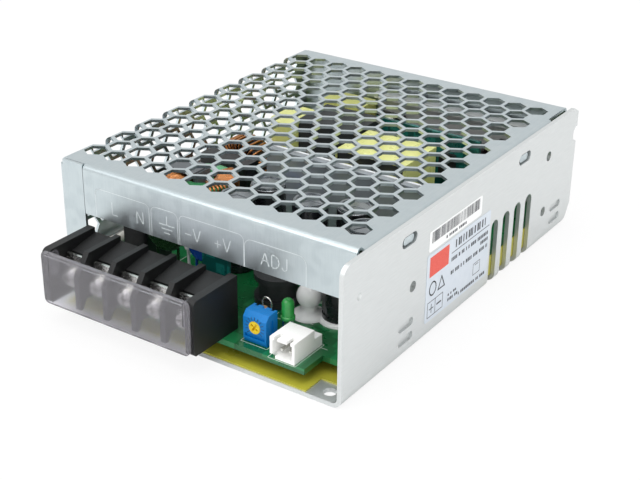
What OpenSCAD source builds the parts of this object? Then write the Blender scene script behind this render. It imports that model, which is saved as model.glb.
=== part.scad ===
// Enclosed 75 W switching power supply: folded plate chassis, hexagon mesh cover,
// five-way barrier terminal block with a clear flip cover, and the populated board inside.
// X runs across the case, -Y is the terminal end, Z is up; the origin is the centre of the underside.

/* [Case] */
// Length of the chassis
case_len = 129; // [122:1:150]
// Width over the chassis and cover
case_w = 98; // [97:1:110]
// Height over the cover
case_h = 38; // [37:0.5:46]
// Thickness of the aluminium chassis plate
plate_t = 1.2; // [1:0.1:1.6]
// Outer bend radius of the chassis
plate_bend = 2.6; // [2:0.1:3.4]
// Height of the low lip inside the cover's side
lip_h = 8; // [6.5:0.5:9]
// Radius of the wall's upper front corner
wall_corner_r = 3; // [1:0.5:5]

/* [Cover] */
// Thickness of the galvanised cover sheet
cover_t = 0.8; // [0.6:0.1:1]
// Outer bend radius of the cover
cover_bend = 1.6; // [1.2:0.1:2]
// Distance from the chassis front edge to the front flap
front_setback = 9.66; // [8.5:0.1:12]
// Distance from the chassis rear edge to the rear flap
rear_setback = 2.8; // [2:0.1:4]
// Height of the front flap
flap_h = 14.2; // [12:0.2:16]
// Width of the side wall's return at each end
return_w = 8.8; // [7:0.2:11]
// Width of a hexagon cell across its flats
cell_w = 5.95; // [4.5:0.05:6.2]
// Distance between neighbouring cells
cell_pitch = 7.06; // [6.9:0.02:8]
// Blank border between the rear flap and the first row's centre
rear_margin = 9; // [7:0.5:12]
// Smallest border between the front flap and the last row's centre
front_margin = 8; // [7:0.5:11]
// Blank border between the right edge and the first column's centre
side_margin = 7; // [6:0.5:10]
// Height of the cover's flange inside the chassis wall
inner_flange_h = 9; // [8:0.5:11]

/* [Chassis wall] */
// Length of the oblong cover slots
slot_len = 7.2; // [5:0.2:9]
// Height of the oblong cover slots
slot_h = 3.1; // [2.4:0.1:3.6]
// Distance from the top edge to the slots' centre
slot_drop = 4.7; // [4:0.1:6]
// Radius of the tapped mounting holes
tap_r = 1.5; // [1.2:0.05:1.7]
// Length of the extruded collar behind a tapped hole
tap_collar = 1; // [0.6:0.1:1.6]
// Width of a vent slot
vent_w = 4.1; // [3:0.1:5]
// Distance between vent slots
vent_pitch = 7; // [6.5:0.1:8]
// Number of vent slots
vent_n = 4; // [2:1:5]
// Height of the top of the vent slots
vent_top = 20.3; // [16:0.1:22]
// Radius of the floor mounting holes
floor_hole_r = 1.75; // [1.5:0.05:2.2]
// Distance of the floor mounting holes from the front or rear edge
floor_hole_inset_y = 3.7; // [3.2:0.1:4]
// Distance of the floor mounting holes from the side edges
floor_hole_inset_x = 5.6; // [5.2:0.1:6]

/* [Main board] */
// Thickness of the main board
board_t = 1.6; // [1.2:0.1:2]
// Gap between the chassis floor and the board
board_gap = 3.2; // [2.8:0.1:4]
// Distance from the chassis front edge to the board
board_front_setback = 2.1; // [1.8:0.1:3]
// Thickness of the insulating film
film_t = 0.4; // [0.3:0.05:0.6]
// Height of the film's upstand beside the chassis wall
film_up_h = 6.9; // [5.5:0.2:7.5]

/* [Terminal block] */
// Distance between terminals
term_pitch = 9.6; // [9:0.1:10.2]
// Height of the block above the board
term_h = 15.2; // [14.4:0.1:16]
// Depth of the block
term_depth = 17.6; // [17:0.1:19]
// Thickness of the block's end walls
term_end_t = 2.4; // [2.2:0.1:2.8]
// Thickness of the barriers between terminals
term_barrier_t = 1.7; // [1.2:0.1:2]
// Height of the screws' axis above the board
screw_axis_h = 6.9; // [6.4:0.1:7.4]
// Radius of the terminal screws' thread
screw_r = 1.46; // [1.3:0.02:1.6]
// Radius of the terminal screws' head
screw_head_r = 2.7; // [2.3:0.1:2.8]
// Thickness of the clamp plates
clamp_t = 1; // [0.8:0.1:1.2]
// Thickness of the clear terminal cover
lid_t = 0.9; // [0.7:0.1:1.1]
// Radius of the terminal cover's hinge pins
lid_pin_r = 0.8; // [0.6:0.05:1]

/* [Signal parts] */
// Width of the trimmer
trimmer_w = 7.1; // [6:0.1:8]
// Height of the trimmer
trimmer_h = 8.5; // [7.6:0.1:9.5]
// Depth of the trimmer
trimmer_d = 4.8; // [4.4:0.1:5.4]
// Radius of the trimmer's rotor
rotor_r = 1.7; // [1.4:0.05:2]
// Radius of the status lamp
led_r = 1.5; // [1.2:0.1:1.8]
// Width of the signal header
header_w = 7.4; // [7.2:0.1:8]
// Depth of the signal header
header_d = 12; // [11:0.1:13]
// Height of the signal header
header_h = 5.9; // [5.6:0.1:6.6]

/* [Power parts] */
// Width of the transformer over its wrap
transformer_w = 23; // [20:0.5:25]
// Depth of the transformer over its wrap
transformer_d = 18.4; // [16:0.2:19]
// Height of the transformer above the board
transformer_h = 25; // [22:0.5:27]
// Width of the boost inductor's core
boost_w = 20; // [17:0.5:20.5]
// Depth of the boost inductor's core
boost_d = 15.6; // [14:0.2:16]
// Height of the boost inductor above the board
boost_h = 26; // [22:0.5:28]
// Outer radius of the line choke's ring
line_ring_r = 10; // [8.5:0.25:10.5]
// Outer radius of the filter choke's ring
filter_ring_r = 8.8; // [6.6:0.2:9]
// Radius of the bulk capacitor
bulk_r = 9; // [7.5:0.25:9.5]
// Length of the bulk capacitor
bulk_len = 31; // [26:1:32]
// Radius of the output capacitors
out_cap_r = 5; // [4:0.1:5.05]
// Height of the output capacitors
out_cap_h = 22; // [16:0.5:26]
// Height of the clear barrier sheet above the board
barrier_h = 25.3; // [22:0.1:28]
// Height of the control board above the main board
control_h = 25.3; // [20:0.1:28]

/* [Hidden] */
$fn = 48;
eps = 0.01;
// Clearance between pieces that only lie near each other
fit = 0.1;
// Number of terminals, one clamp plate and one screw each
term_n = 5;

// Chassis
wall_x = case_w / 2;
wall_in_x = wall_x - plate_t;
chassis_y0 = -case_len / 2;
chassis_y1 = case_len / 2;
seat_gap = 0.1;
lip_x = -case_w / 2 + cover_t + seat_gap;
rear_notch_r = 2.4;
rear_notch_z = case_h - 8.7;
rear_top_chamfer = [3, 1.6];
rear_low_chamfer = [3.2, 4.4];
slot_y = [-34.8, 28.6];
tap_yz = [[-32.3, 19.3], [44.6, 10.6]];
plain_hole_yz = [45.3, 28.1];
plain_hole_r = 1.5;
lance_y = [-35, 53.2];
lance_z = [9.4, 5.3];
lance_len = 7.2;
lance_h = 2.3;
lance_push = 0.7;
dimple_yz = [-57.5, 27.8];
dimple_r = 1.3;
vent_y0 = 12.4;
vent_reach = 4.2;
floor_hole_x = case_w / 2 - floor_hole_inset_x;
floor_hole_y = case_len / 2 - floor_hole_inset_y;

// Cover
cover_x0 = -case_w / 2;
cover_x1 = wall_in_x - 0.2;
cover_y0 = chassis_y0 + front_setback;
cover_y1 = chassis_y1 - rear_setback;
cover_z0 = 0.4;
return_z0 = plate_t + 0.2;
cover_top_x0 = cover_x0 + cover_bend;
seam_x = cover_x0 + return_w;
seam_gap = 0.15;
flange_bend = 1.2;
flange_y0 = cover_y0 + 1.9;
flange_y1 = cover_y1 - 13.2;
rear_edge_x = cover_x1 - 1.3;
row_step = cell_pitch * sqrt(3) / 2;
row_n = floor((cover_y1 - rear_margin - cover_y0 - front_margin) / row_step) + 1;
bend_arc = PI / 2 * (cover_bend - cover_t / 2);
side_border = lip_h + 2.3;
lip_y0 = cover_y0 + cover_bend + 0.3;
lip_y1 = cover_y1 - cover_t - 0.3;
cover_screw_y = [-44, 0, 44];
cover_screw_z = 5;
cover_screw_head_r = 2.6;
cover_screw_r = 1.25;

// Board and film
film_z = plate_t;
film_x1 = wall_in_x - 0.1;
film_bend = plate_bend - plate_t;
board_z = plate_t + board_gap;
top_z = board_z + board_t;
board_x0 = lip_x + plate_t + 0.5;
board_x1 = wall_in_x - film_t - 0.8;
board_y0 = chassis_y0 + board_front_setback;
board_y1 = cover_y1 - cover_t - 1.4;
notch_x = floor_hole_x - 6.5;
notch_y = -floor_hole_y + 6.4;
left_notch_x = seam_x + 0.9;
left_notch_y = cover_y0 + cover_t + 0.6;
film_notch_x = floor_hole_x - 4.8;
film_notch_y = -floor_hole_y + 3.4;
post_r = 2.4;
post_screw_r = 1.2;
post_head_r = 2.6;
post_xy = [[board_x0 + 3.4, board_y0 + 14], [board_x1 - 4.4, board_y0 + 14.5],
    [board_x0 + 3.4, board_y1 - 4.5], [board_x1 - 4.2, board_y1 - 5]];

// Terminal block
term_rear_y = cover_y0 - 0.96;
term_front_y = term_rear_y - term_depth;
term_top_z = top_z + term_h;
term_x0 = seam_x + 1.6;
term_w = term_n * term_pitch + term_end_t;
term_x1 = term_x0 + term_w;
deck_rear_z = term_top_z - 1.4;
deck_front_z = term_top_z - 3.2;
deck_len = 9.2;
deck_front_y = term_rear_y - deck_len;
face_y = deck_front_y - 1.4;
foot_y = term_front_y + 1.4;
foot_rise = 2.6;
screw_z = top_z + screw_axis_h;
tab_w = 6.6;
tab_t = 0.8;
tab_front_y = face_y - tab_t;
tab_top_z = deck_front_z + 0.4;
tab_pin_y = term_rear_y - 4.2;
clamp_half = 2.8;
clamp_gap = 0.05;
clamp_front_y = tab_front_y - clamp_gap - clamp_t;
head_back_y = clamp_front_y - clamp_gap;
head_t = 2;
shank_len = 7;
thread_fit = 0.04;
lid_corner_r = 1.8;
lid_axis_y = term_front_y + lid_corner_r;
lid_axis_z = term_top_z - lid_corner_r;
lid_gap = 0.2;
lid_in_y = term_front_y - lid_gap;
lid_pin_fit = 0.05;
lid_ear_t = 0.5;
lid_inset = 0.8;
lid_z0 = top_z + 0.3;
lid_z1 = term_top_z + 0.1;

// Signal parts: places on the board, measured from its front right notch
trimmer_x = notch_x - 16.9;
trimmer_y = board_y0 + 2.7;
rotor_z = top_z + 4.7;
rotor_fit = 0.05;
led_x = notch_x - 12.2;
led_y = board_y0 + 10.4;
led_z = top_z + 5.3;
led_body_h = 4.6;
header_x = notch_x - 6.6;
header_wall = 0.8;
resistor_x = notch_x - 20;
resistor_y = board_y0 + 10.4;

// Power parts: the line-side row is placed from the board's left edge, the front group from
// its front edge and the rear group from its rear edge
transformer_at = [10.5, 17];
wrap_t = 0.3;
bobbin_h = 3;
boost_at = [-12, board_y1 - 32.3];
boost_base_h = 2.6;
boost_reach = 10;
line_at = [board_x0 + 15.9, board_y1 - 76.5];
line_ring_in = 4.6;
line_ring_h = 12;
line_base_h = 2.2;
wire_t = 1.2;
line_ring_z = top_z + line_base_h + wire_t + 0.1;
filter_at = [board_x0 + 10.4, board_y1 - 48.5];
filter_ring_in = 4;
filter_ring_h = 7;
filter_z = top_z + filter_ring_r + wire_t;
bulk_at = [10.6, board_y1 - 12.3];
out_cap_from_front = [[-6.6, 45], [-9, 34], [9.4, 42.4], [21.3, 46.2], [30.3, 37.2], [30.5, 26]];
out_cap_at = [for (p = out_cap_from_front) [p[0], board_y0 + p[1]]];
out_choke_at = [11.2, board_y0 + 24.9];
glue_at = [23, board_y0 + 22.8];
glue_bead_at = [-12.2, board_y0 + 16.6];
input_cap_x = board_x0 + 3.9;
input_cap_y = board_y1 - 63.1;
input_cap = [17.5, 7, 17.2];
x_cap_x = board_x0 + 11.4;
x_cap_y = board_y0 + 15.9;
x_cap = [8.4, 11, 14.6];
pulse_x = board_x0 + 13.8;
pulse_y = board_y1 - 11.3;
pulse_cap = [15.2, 9, 21.5];
varistor_at = [-19.3, board_y0 + 16.4];
safety_at = [[-6.6, board_y0 + 16.2], [-14.5, 4.6]];
sense_y = board_y0 + 12.8;
fuse_x = board_x0 + 2.5;
fuse_y = board_y0 + 18.4;
out_choke_r = 6.4;
barrier_x = [-19, 33];
barrier_y = -1;
barrier_t = 0.4;
control_x = [-5, 31];
control_y = board_y1 - 23.5;
control_t = 1.2;
sink_x = [-17, 38];
sink_y = board_y1 - 0.3;
sink_t = 1.6;
sink_h = 25;
sink_fold = 4.6;
transistor_x = [-11.6, 32.4];
label_t = 0.12;

module box(lo, hi) translate(lo) cube(hi - lo);

// A profile drawn in (y, z) and carried along X from x
module along_x(x, len) translate([x, 0, 0]) rotate([90, 0, 90]) linear_extrude(height = len) children();

// A profile drawn in (x, z) and carried along Y from y
module along_y(y, len) translate([0, y + len, 0]) rotate([90, 0, 0]) linear_extrude(height = len) children();

// A cylinder along X or Y from the given point
module rod_x(at, r, len) translate(at) rotate([0, 90, 0]) cylinder(r = r, h = len);
module rod_y(at, r, len) translate(at) rotate([-90, 0, 0]) cylinder(r = r, h = len);

// One quarter of a sheet's bend: outer radius r, sheet t, turned to start at the angle a
module bend_profile(r, t, a) rotate(a) intersection() {
    difference() {
        circle(r = r);
        circle(r = r - t);
    }
    square(r + 1);
}

// An oblong with round ends, its long side along the first axis
module oblong(len, h) union() {
    square([len - h, h], center = true);
    for (s = [-1, 1]) translate([s * (len - h) / 2, 0]) circle(d = h);
}

module rounded_rect(x0, y0, x1, y1, r) union() {
    translate([x0 + r, y0]) square([x1 - x0 - 2 * r, y1 - y0]);
    translate([x0, y0 + r]) square([x1 - x0, y1 - y0 - 2 * r]);
    for (x = [x0 + r, x1 - r], y = [y0 + r, y1 - r]) translate([x, y]) circle(r = r);
}

// ---------------------------------------------------------------- case

module chassis_section() union() {
    translate([lip_x + plate_bend, 0]) square([wall_x - plate_bend - lip_x - plate_bend, plate_t]);
    translate([wall_in_x, plate_bend]) square([plate_t, case_h - plate_bend]);
    translate([lip_x, plate_bend]) square([plate_t, lip_h - plate_bend]);
    translate([wall_x - plate_bend, plate_bend]) bend_profile(plate_bend, plate_t, -90);
    translate([lip_x + plate_bend, plate_bend]) bend_profile(plate_bend, plate_t, 180);
}

// Cuts in the wall's outline, drawn in (y, z)
module wall_outline_cuts() {
    translate([chassis_y0, case_h]) difference() {
        translate([-1, -wall_corner_r]) square([wall_corner_r + 1, wall_corner_r + 1]);
        translate([wall_corner_r, -wall_corner_r]) circle(r = wall_corner_r);
    }
    translate([chassis_y1, rear_notch_z]) circle(r = rear_notch_r);
    polygon([[chassis_y1 + eps, case_h + eps], [chassis_y1 - rear_top_chamfer[0], case_h + eps],
        [chassis_y1 + eps, case_h - rear_top_chamfer[1]]]);
    polygon([[chassis_y1 + eps, -eps], [chassis_y1 - rear_low_chamfer[0], -eps],
        [chassis_y1 - rear_low_chamfer[0], rear_low_chamfer[1] - 3], [chassis_y1 + eps, rear_low_chamfer[1] + 2]]);
}

module vent_cut(y) union() {
    box([wall_x - vent_reach, y - vent_w / 2, -1], [wall_x + 1, y + vent_w / 2, vent_top - vent_w / 2]);
    rod_x([wall_x - vent_reach, y, vent_top - vent_w / 2], vent_w / 2, vent_reach + 1);
}

module chassis() color("gainsboro") difference() {
    union() {
        difference() {
            along_y(chassis_y0, case_len) chassis_section();
            along_x(wall_in_x - plate_bend, plate_bend + plate_t + 1) wall_outline_cuts();
            for (y = slot_y) along_x(wall_in_x - 1, plate_t + 2)
                translate([y, case_h - slot_drop]) oblong(slot_len, slot_h);
            for (i = [0 : vent_n - 1]) vent_cut(vent_y0 + i * vent_pitch);
            for (x = [-1, 1]) translate([x * floor_hole_x, -floor_hole_y, -1]) cylinder(r = floor_hole_r, h = plate_t + 2);
            // the lip stops short of the cover's returns
            box([lip_x - 1, chassis_y0 - 1, plate_t], [lip_x + plate_bend, lip_y0, lip_h + 1]);
            box([lip_x - 1, lip_y1, plate_t], [lip_x + plate_bend, chassis_y1 + 1, lip_h + 1]);
            rod_x([wall_in_x - 1, plain_hole_yz[0], plain_hole_yz[1]], plain_hole_r, plate_t + 2);
            for (y = cover_screw_y) rod_x([lip_x - 1, y, cover_screw_z], cover_screw_r + 0.05, plate_t + 2);
        }
        for (p = tap_yz) rod_x([wall_in_x - tap_collar, p[0], p[1]], tap_r + 0.8, tap_collar + eps);
        for (y = lance_y, z = lance_z) along_x(wall_in_x - lance_push, lance_push + eps)
            translate([y, z]) oblong(lance_len - 0.6, lance_h - 0.6);
    }
    for (p = tap_yz) rod_x([wall_in_x - tap_collar - 1, p[0], p[1]], tap_r, tap_collar + plate_t + 2);
    for (y = lance_y, z = lance_z) along_x(wall_x - lance_push, lance_push + 1)
        translate([y, z]) oblong(lance_len, lance_h);
    translate([wall_x + dimple_r - 0.5, dimple_yz[0], dimple_yz[1]]) sphere(r = dimple_r);
}

// Centre of each cell: rows run across the sheet, every other one shifted by half a pitch
function cell_y(j) = cover_y1 - rear_margin - j * row_step;
function cell_x(j, k) = cover_x1 - side_margin - (j % 2) * cell_pitch / 2 - k * cell_pitch;
// How far a cell's centre lies past the start of the bend, and its height once it is on the side wall
function cell_past(j, k) = cover_top_x0 - cell_x(j, k);
function cell_z(j, k) = case_h - cover_bend - (cell_past(j, k) - bend_arc);
function on_top(j, k) = cell_past(j, k) <= -cell_w / 2;
function on_upper_bend(j, k) = !on_top(j, k) && cell_past(j, k) <= bend_arc / 2;
function on_side(j, k) = cell_z(j, k) + cell_w / 2 <= case_h - cover_bend
    && cell_z(j, k) - cell_w / 2 >= side_border;
function on_lower_bend(j, k) = cell_past(j, k) > bend_arc / 2 && cell_z(j, k) + cell_w / 2 > case_h - cover_bend;
cell_n = ceil((cover_x1 - cover_x0 + case_h) / cell_pitch);

module cell() rotate(30) circle(r = cell_w / 2 / cos(30), $fn = 6);

module cover_top() translate([0, 0, case_h - cover_t]) linear_extrude(height = cover_t) difference() {
    union() {
        polygon([[cover_top_x0, cover_y0 + cover_t + seam_gap], [seam_x, cover_y0 + cover_t + seam_gap],
            [seam_x, cover_y0 + cover_bend], [rear_edge_x, cover_y0 + cover_bend], [rear_edge_x, flange_y0],
            [cover_x1 - flange_bend, flange_y0], [cover_x1 - flange_bend, flange_y1],
            [rear_edge_x, flange_y1 + 2.5], [rear_edge_x, cover_y1 - cover_bend], [cover_top_x0, cover_y1 - cover_bend]]);
    }
    for (j = [0 : row_n - 1], k = [0 : cell_n]) if (on_top(j, k)) translate([cell_x(j, k), cell_y(j)]) cell();
}

module cover_side() along_x(cover_x0, cover_t) difference() {
    translate([cover_y0 + cover_bend, cover_z0])
        square([cover_y1 + cover_t - 2 * cover_bend + seam_gap - cover_y0, case_h - cover_bend - cover_z0]);
    for (j = [0 : row_n - 1], k = [0 : cell_n]) if (on_side(j, k)) translate([cell_y(j), cell_z(j, k)]) rotate(90) cell();
}

module cover_flaps() {
    rear_out_y = cover_y1 + cover_t + seam_gap;
    // front flap and its bend
    along_x(seam_x, rear_edge_x - seam_x) union() {
        translate([cover_y0, case_h - flap_h]) square([cover_t, flap_h - cover_bend]);
        translate([cover_y0 + cover_bend, case_h - cover_bend]) bend_profile(cover_bend, cover_t, 90);
    }
    // rear flap and its bend
    along_x(cover_top_x0 + 0.5, rear_edge_x - cover_top_x0 - 0.5) union() {
        translate([cover_y1 - cover_t, plate_t + 0.3]) square([cover_t, case_h - cover_bend - plate_t - 0.3]);
        translate([cover_y1 - cover_bend, case_h - cover_bend]) bend_profile(cover_bend, cover_t, 0);
    }
    // returns of the side wall, in front and outside the rear flap
    translate([0, 0, return_z0]) linear_extrude(height = case_h - cover_bend - return_z0) {
        translate([cover_x0 + cover_bend, cover_y0]) square([return_w - cover_bend - seam_gap, cover_t]);
        translate([cover_x0 + cover_bend, cover_y0 + cover_bend]) bend_profile(cover_bend, cover_t, 180);
        translate([cover_x0 + cover_bend, rear_out_y - cover_t]) square([return_w - cover_bend, cover_t]);
        translate([cover_x0 + cover_bend, rear_out_y - cover_bend]) bend_profile(cover_bend, cover_t, 90);
    }
    translate([0, 0, case_h - cover_bend]) linear_extrude(height = cover_bend)
        translate([cover_x0 + cover_bend, cover_y0]) square([return_w - cover_bend - seam_gap, cover_t]);
    // flange inside the chassis wall, with a pressed tongue in each slot
    along_y(flange_y0, flange_y1 - flange_y0) union() {
        translate([cover_x1 - cover_t, case_h - inner_flange_h]) square([cover_t, inner_flange_h - flange_bend]);
        translate([cover_x1 - flange_bend, case_h - flange_bend]) bend_profile(flange_bend, cover_t, 0);
    }
    for (y = slot_y) along_x(cover_x1 - eps, plate_t * 0.7)
        translate([y + 0.4, case_h - slot_drop - 0.2]) oblong(slot_len - 2.2, slot_h - 1);
}

module mesh_cover() color("lightsteelblue") difference() {
    union() {
        cover_top();
        cover_side();
        cover_flaps();
        along_y(cover_y0 + cover_bend, cover_y1 - cover_y0 - 2 * cover_bend)
            translate([cover_top_x0, case_h - cover_bend]) bend_profile(cover_bend, cover_t, 90);
    }
    for (j = [0 : row_n - 1], k = [0 : cell_n]) {
        if (on_upper_bend(j, k)) translate([cell_x(j, k), cell_y(j), case_h - cover_bend - 1])
            linear_extrude(height = cover_bend + 2) cell();
        if (on_lower_bend(j, k)) along_x(cover_x0 - 1, cover_bend + 1) translate([cell_y(j), cell_z(j, k)]) rotate(90) cell();
    }
    for (y = cover_screw_y) translate([cover_x0 - eps, y, cover_screw_z]) rotate([0, 90, 0])
        cylinder(r1 = cover_screw_head_r + 0.05, r2 = cover_screw_r + 0.35, h = cover_t + 2 * eps);
}

module cover_screws() color("silver") for (y = cover_screw_y) difference() {
    union() {
        translate([cover_x0, y, cover_screw_z]) rotate([0, 90, 0])
            cylinder(r1 = cover_screw_head_r, r2 = cover_screw_r + 0.3, h = cover_t);
        rod_x([cover_x0, y, cover_screw_z], cover_screw_r, lip_x + plate_t + 0.2 - cover_x0);
    }
    for (a = [0, 90]) translate([cover_x0, y, cover_screw_z]) rotate([a, 0, 0])
        cube([1, 0.6, 2.6], center = true);
}

// ---------------------------------------------------------------- board and film

module insulation_film() color("darkkhaki") difference() {
    along_y(chassis_y0 + 0.3, board_y1 - chassis_y0 - 0.3) union() {
        translate([lip_x + plate_bend + 0.1, film_z]) square([film_x1 - film_bend - lip_x - plate_bend - 0.1, film_t]);
        translate([film_x1 - film_bend, film_z + film_bend]) bend_profile(film_bend, film_t, -90);
        translate([film_x1 - film_t, film_z + film_bend]) square([film_t, film_up_h - film_bend]);
    }
    box([film_notch_x, chassis_y0 - 1, 0], [wall_x, film_notch_y, case_h]);
    box([lip_x, chassis_y0 - 1, 0], [-floor_hole_x + 3.4, cover_y0 + cover_t + 0.5, case_h]);
    for (p = post_xy) translate([p[0], p[1], 0]) cylinder(r = post_r + 0.4, h = film_z + 2);
    // gap round the pressed ribs of the wall
    for (y = lance_y) box([wall_in_x - 2, y - lance_len / 2 - 0.3, lance_z[1] - lance_h / 2 - 0.3],
        [wall_in_x + 1, y + lance_len / 2 + 0.3, case_h]);
}

module board_outline() difference() {
    polygon([[left_notch_x, board_y0], [notch_x, board_y0], [notch_x, notch_y], [board_x1, notch_y],
        [board_x1, board_y1], [board_x0, board_y1], [board_x0, left_notch_y], [left_notch_x, left_notch_y]]);
    for (p = post_xy) translate(p) circle(r = post_screw_r + 0.4);
    for (i = [1 : term_n]) translate([term_x(i), tab_pin_y]) circle(r = 0.9);
    for (s = [-1, 1]) {
        translate([led_x + s * 1.27, led_y]) circle(r = 0.45);
        translate([header_x + s * 1.25, board_y0 + header_d - 1.1]) circle(r = 0.6);
    }
}

module main_board() color("seagreen") translate([0, 0, board_z]) linear_extrude(height = board_t) board_outline();

module board_posts() color("gainsboro") for (p = post_xy) translate([p[0], p[1], plate_t]) difference() {
    cylinder(r = post_r, h = board_gap);
    translate([0, 0, -1]) cylinder(r = post_screw_r + 0.04, h = board_gap + 2);
}

module pan_screw(head_r, head_h, shank_r, shank_l) difference() {
    union() {
        translate([0, 0, -shank_l]) cylinder(r = shank_r, h = shank_l + eps);
        cylinder(r = head_r, h = head_h * 0.5);
        translate([0, 0, head_h * 0.5 - eps]) cylinder(r1 = head_r, r2 = head_r * 0.66, h = head_h * 0.5 + eps);
    }
    for (a = [0, 90]) rotate(a) translate([0, 0, head_h]) cube([head_r * 1.15, head_r * 0.26, head_h], center = true);
}

module board_screws() color("silver") for (p = post_xy) translate([p[0], p[1], top_z])
    pan_screw(post_head_r, 1.8, post_screw_r, board_t + 2.6);

// ---------------------------------------------------------------- terminal block

function term_x(i) = term_x0 + term_end_t / 2 + (i - 0.5) * term_pitch;

module housing_core() polygon([[term_rear_y, top_z], [term_rear_y, deck_rear_z], [deck_front_y, deck_front_z],
    [deck_front_y, deck_front_z - 0.9], [face_y, deck_front_z - 0.9], [face_y, top_z + foot_rise],
    [board_y0 - 1.2, top_z + foot_rise], [board_y0, top_z]]);

module barrier_profile() polygon([[term_rear_y, top_z], [term_rear_y, term_top_z],
    [term_rear_y - deck_len - 3, term_top_z], [foot_y, term_top_z - 5.6], [foot_y, top_z + 0.1],
    [foot_y + 1.1, top_z + 0.1], [foot_y + 2.4, top_z + foot_rise], [board_y0 - 1.2, top_z + foot_rise],
    [board_y0, top_z]]);

module end_wall_profile() union() {
    translate([term_front_y + lid_corner_r, top_z]) square([term_depth - lid_corner_r, term_h]);
    translate([term_front_y, top_z + 1]) square([lid_corner_r + eps, term_h - lid_corner_r - 1]);
    translate([lid_axis_y, lid_axis_z]) circle(r = lid_corner_r);
    translate([term_front_y + 1, top_z + 1]) circle(r = 1);
}

module terminal_housing() color("dimgray") difference() {
    union() {
        along_x(term_x0 + eps, term_w - 2 * eps) housing_core();
        for (i = [1 : term_n - 1]) along_x((term_x(i) + term_x(i + 1) - term_barrier_t) / 2, term_barrier_t)
            barrier_profile();
        for (x = [term_x0, term_x1 - term_end_t]) along_x(x, term_end_t) end_wall_profile();
    }
    // hinge sockets for the clear cover
    for (x = [term_x0 + term_end_t - 1.8, term_x1 - term_end_t - eps])
        rod_x([x, lid_axis_y, lid_axis_z], lid_pin_r + lid_pin_fit, 1.8 + eps);
    for (i = [1 : term_n]) translate([term_x(i), 0, 0]) {
        // seat for the tab's foot, its pin, and the screw's end
        box([-1.55, face_y - 1, top_z + foot_rise + 0.25], [1.55, tab_pin_y + 0.5, top_z + foot_rise + 1.15]);
        box([-0.65, tab_pin_y - 0.5, top_z - 1], [0.65, tab_pin_y + 0.5, top_z + foot_rise + 1]);
        rod_y([0, face_y - 1, screw_z], screw_r + 0.3, shank_len);
    }
}

module terminal_tabs() color("silver") for (i = [1 : term_n]) translate([term_x(i), 0, 0]) difference() {
    union() {
        box([-tab_w / 2, tab_front_y, top_z + foot_rise + 0.3], [tab_w / 2, face_y, tab_top_z]);
        box([-1.5, face_y - eps, top_z + foot_rise + 0.3], [1.5, tab_pin_y + 0.4, top_z + foot_rise + 1.1]);
        box([-0.6, tab_pin_y - 0.4, board_z - 1], [0.6, tab_pin_y + 0.4, top_z + foot_rise + 0.4]);
    }
    rod_y([0, tab_front_y - 1, screw_z], screw_r + thread_fit, tab_t + 2);
}

module clamp_plate(i) color("gainsboro") translate([term_x(i), clamp_front_y, screw_z]) difference() {
    union() {
        box([-clamp_half, 0, -clamp_half], [clamp_half, clamp_t, clamp_half]);
        for (s = [-1, 1]) box([s * (clamp_half - 0.25) - 0.25, -0.5, -clamp_half],
            [s * (clamp_half - 0.25) + 0.25, eps, -clamp_half + 1.1]);
    }
    rod_y([0, -1, 0], screw_r + 0.25, clamp_t + 2);
}

module terminal_screw(i) color("silver") translate([term_x(i), head_back_y, screw_z]) rotate([90, 0, 0])
    pan_screw(screw_head_r, head_t, screw_r, shank_len);

// The ear that carries one hinge pin, drawn in (y, z)
module lid_ear_profile() difference() {
    union() {
        translate([lid_axis_y, lid_axis_z]) circle(r = 1.5);
        translate([lid_in_y - eps, lid_axis_z - 5.6]) square([lid_axis_y - lid_in_y, 7.1]);
        translate([lid_in_y - eps, lid_axis_z - 4.2]) square([lid_axis_y - lid_in_y + 1.5, 4.2]);
        translate([lid_axis_y + 0.1, lid_axis_z - 4.2]) circle(r = 1.4);
    }
    translate([lid_in_y - 1, lid_z1 - 0.6]) square([8, 3]);
}

module terminal_cover() color("lightgray") {
    along_y(lid_in_y - lid_t, lid_t) rounded_rect(term_x0 + lid_inset, lid_z0, term_x1 - lid_inset, lid_z1, 1.4);
    along_x(term_x0 + lid_inset + 1.4, term_w - 2 * lid_inset - 2.8) translate([lid_in_y - lid_t - 0.3, lid_z1 - 0.8])
        square([lid_t, 0.8]);
    for (x = [term_x0 + term_end_t + fit, term_x1 - term_end_t - fit - lid_ear_t])
        along_x(x, lid_ear_t) lid_ear_profile();
    rod_x([term_x0 + term_end_t - 1.6, lid_axis_y, lid_axis_z], lid_pin_r, 1.6 + fit + eps);
    rod_x([term_x1 - term_end_t - fit - eps, lid_axis_y, lid_axis_z], lid_pin_r, 1.6 + fit + eps);
}

// ---------------------------------------------------------------- signal parts

module trimmer_body() color("dodgerblue") translate([trimmer_x, trimmer_y, top_z]) difference() {
    along_x(-trimmer_w / 2, trimmer_w) polygon([[0.35, 0], [0.35, 0.5], [0, 0.8], [0, trimmer_h - 1.5],
        [1.1, trimmer_h - 0.2], [1.3, trimmer_h], [trimmer_d, trimmer_h], [trimmer_d, 0]]);
    rod_y([0, -1, rotor_z - top_z], rotor_r + rotor_fit, 1 + 1.3);
    rod_y([0, 0, rotor_z - top_z], 0.85, 3);
    box([-trimmer_w / 2 + 0.5, -1, 1.5], [trimmer_w / 2 - 0.5, 0.6, 2.6]);
    for (x = [-2.4, 0, 2.4]) box([x - 0.45, trimmer_d - 0.8, trimmer_h - 0.5], [x + 0.45, trimmer_d + 1, trimmer_h + 1]);
    for (s = [-1, 1]) box([s * trimmer_w / 2 - 0.3, 1.9, -1], [s * trimmer_w / 2 + 0.3, 3, trimmer_h - 1.9]);
}

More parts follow.
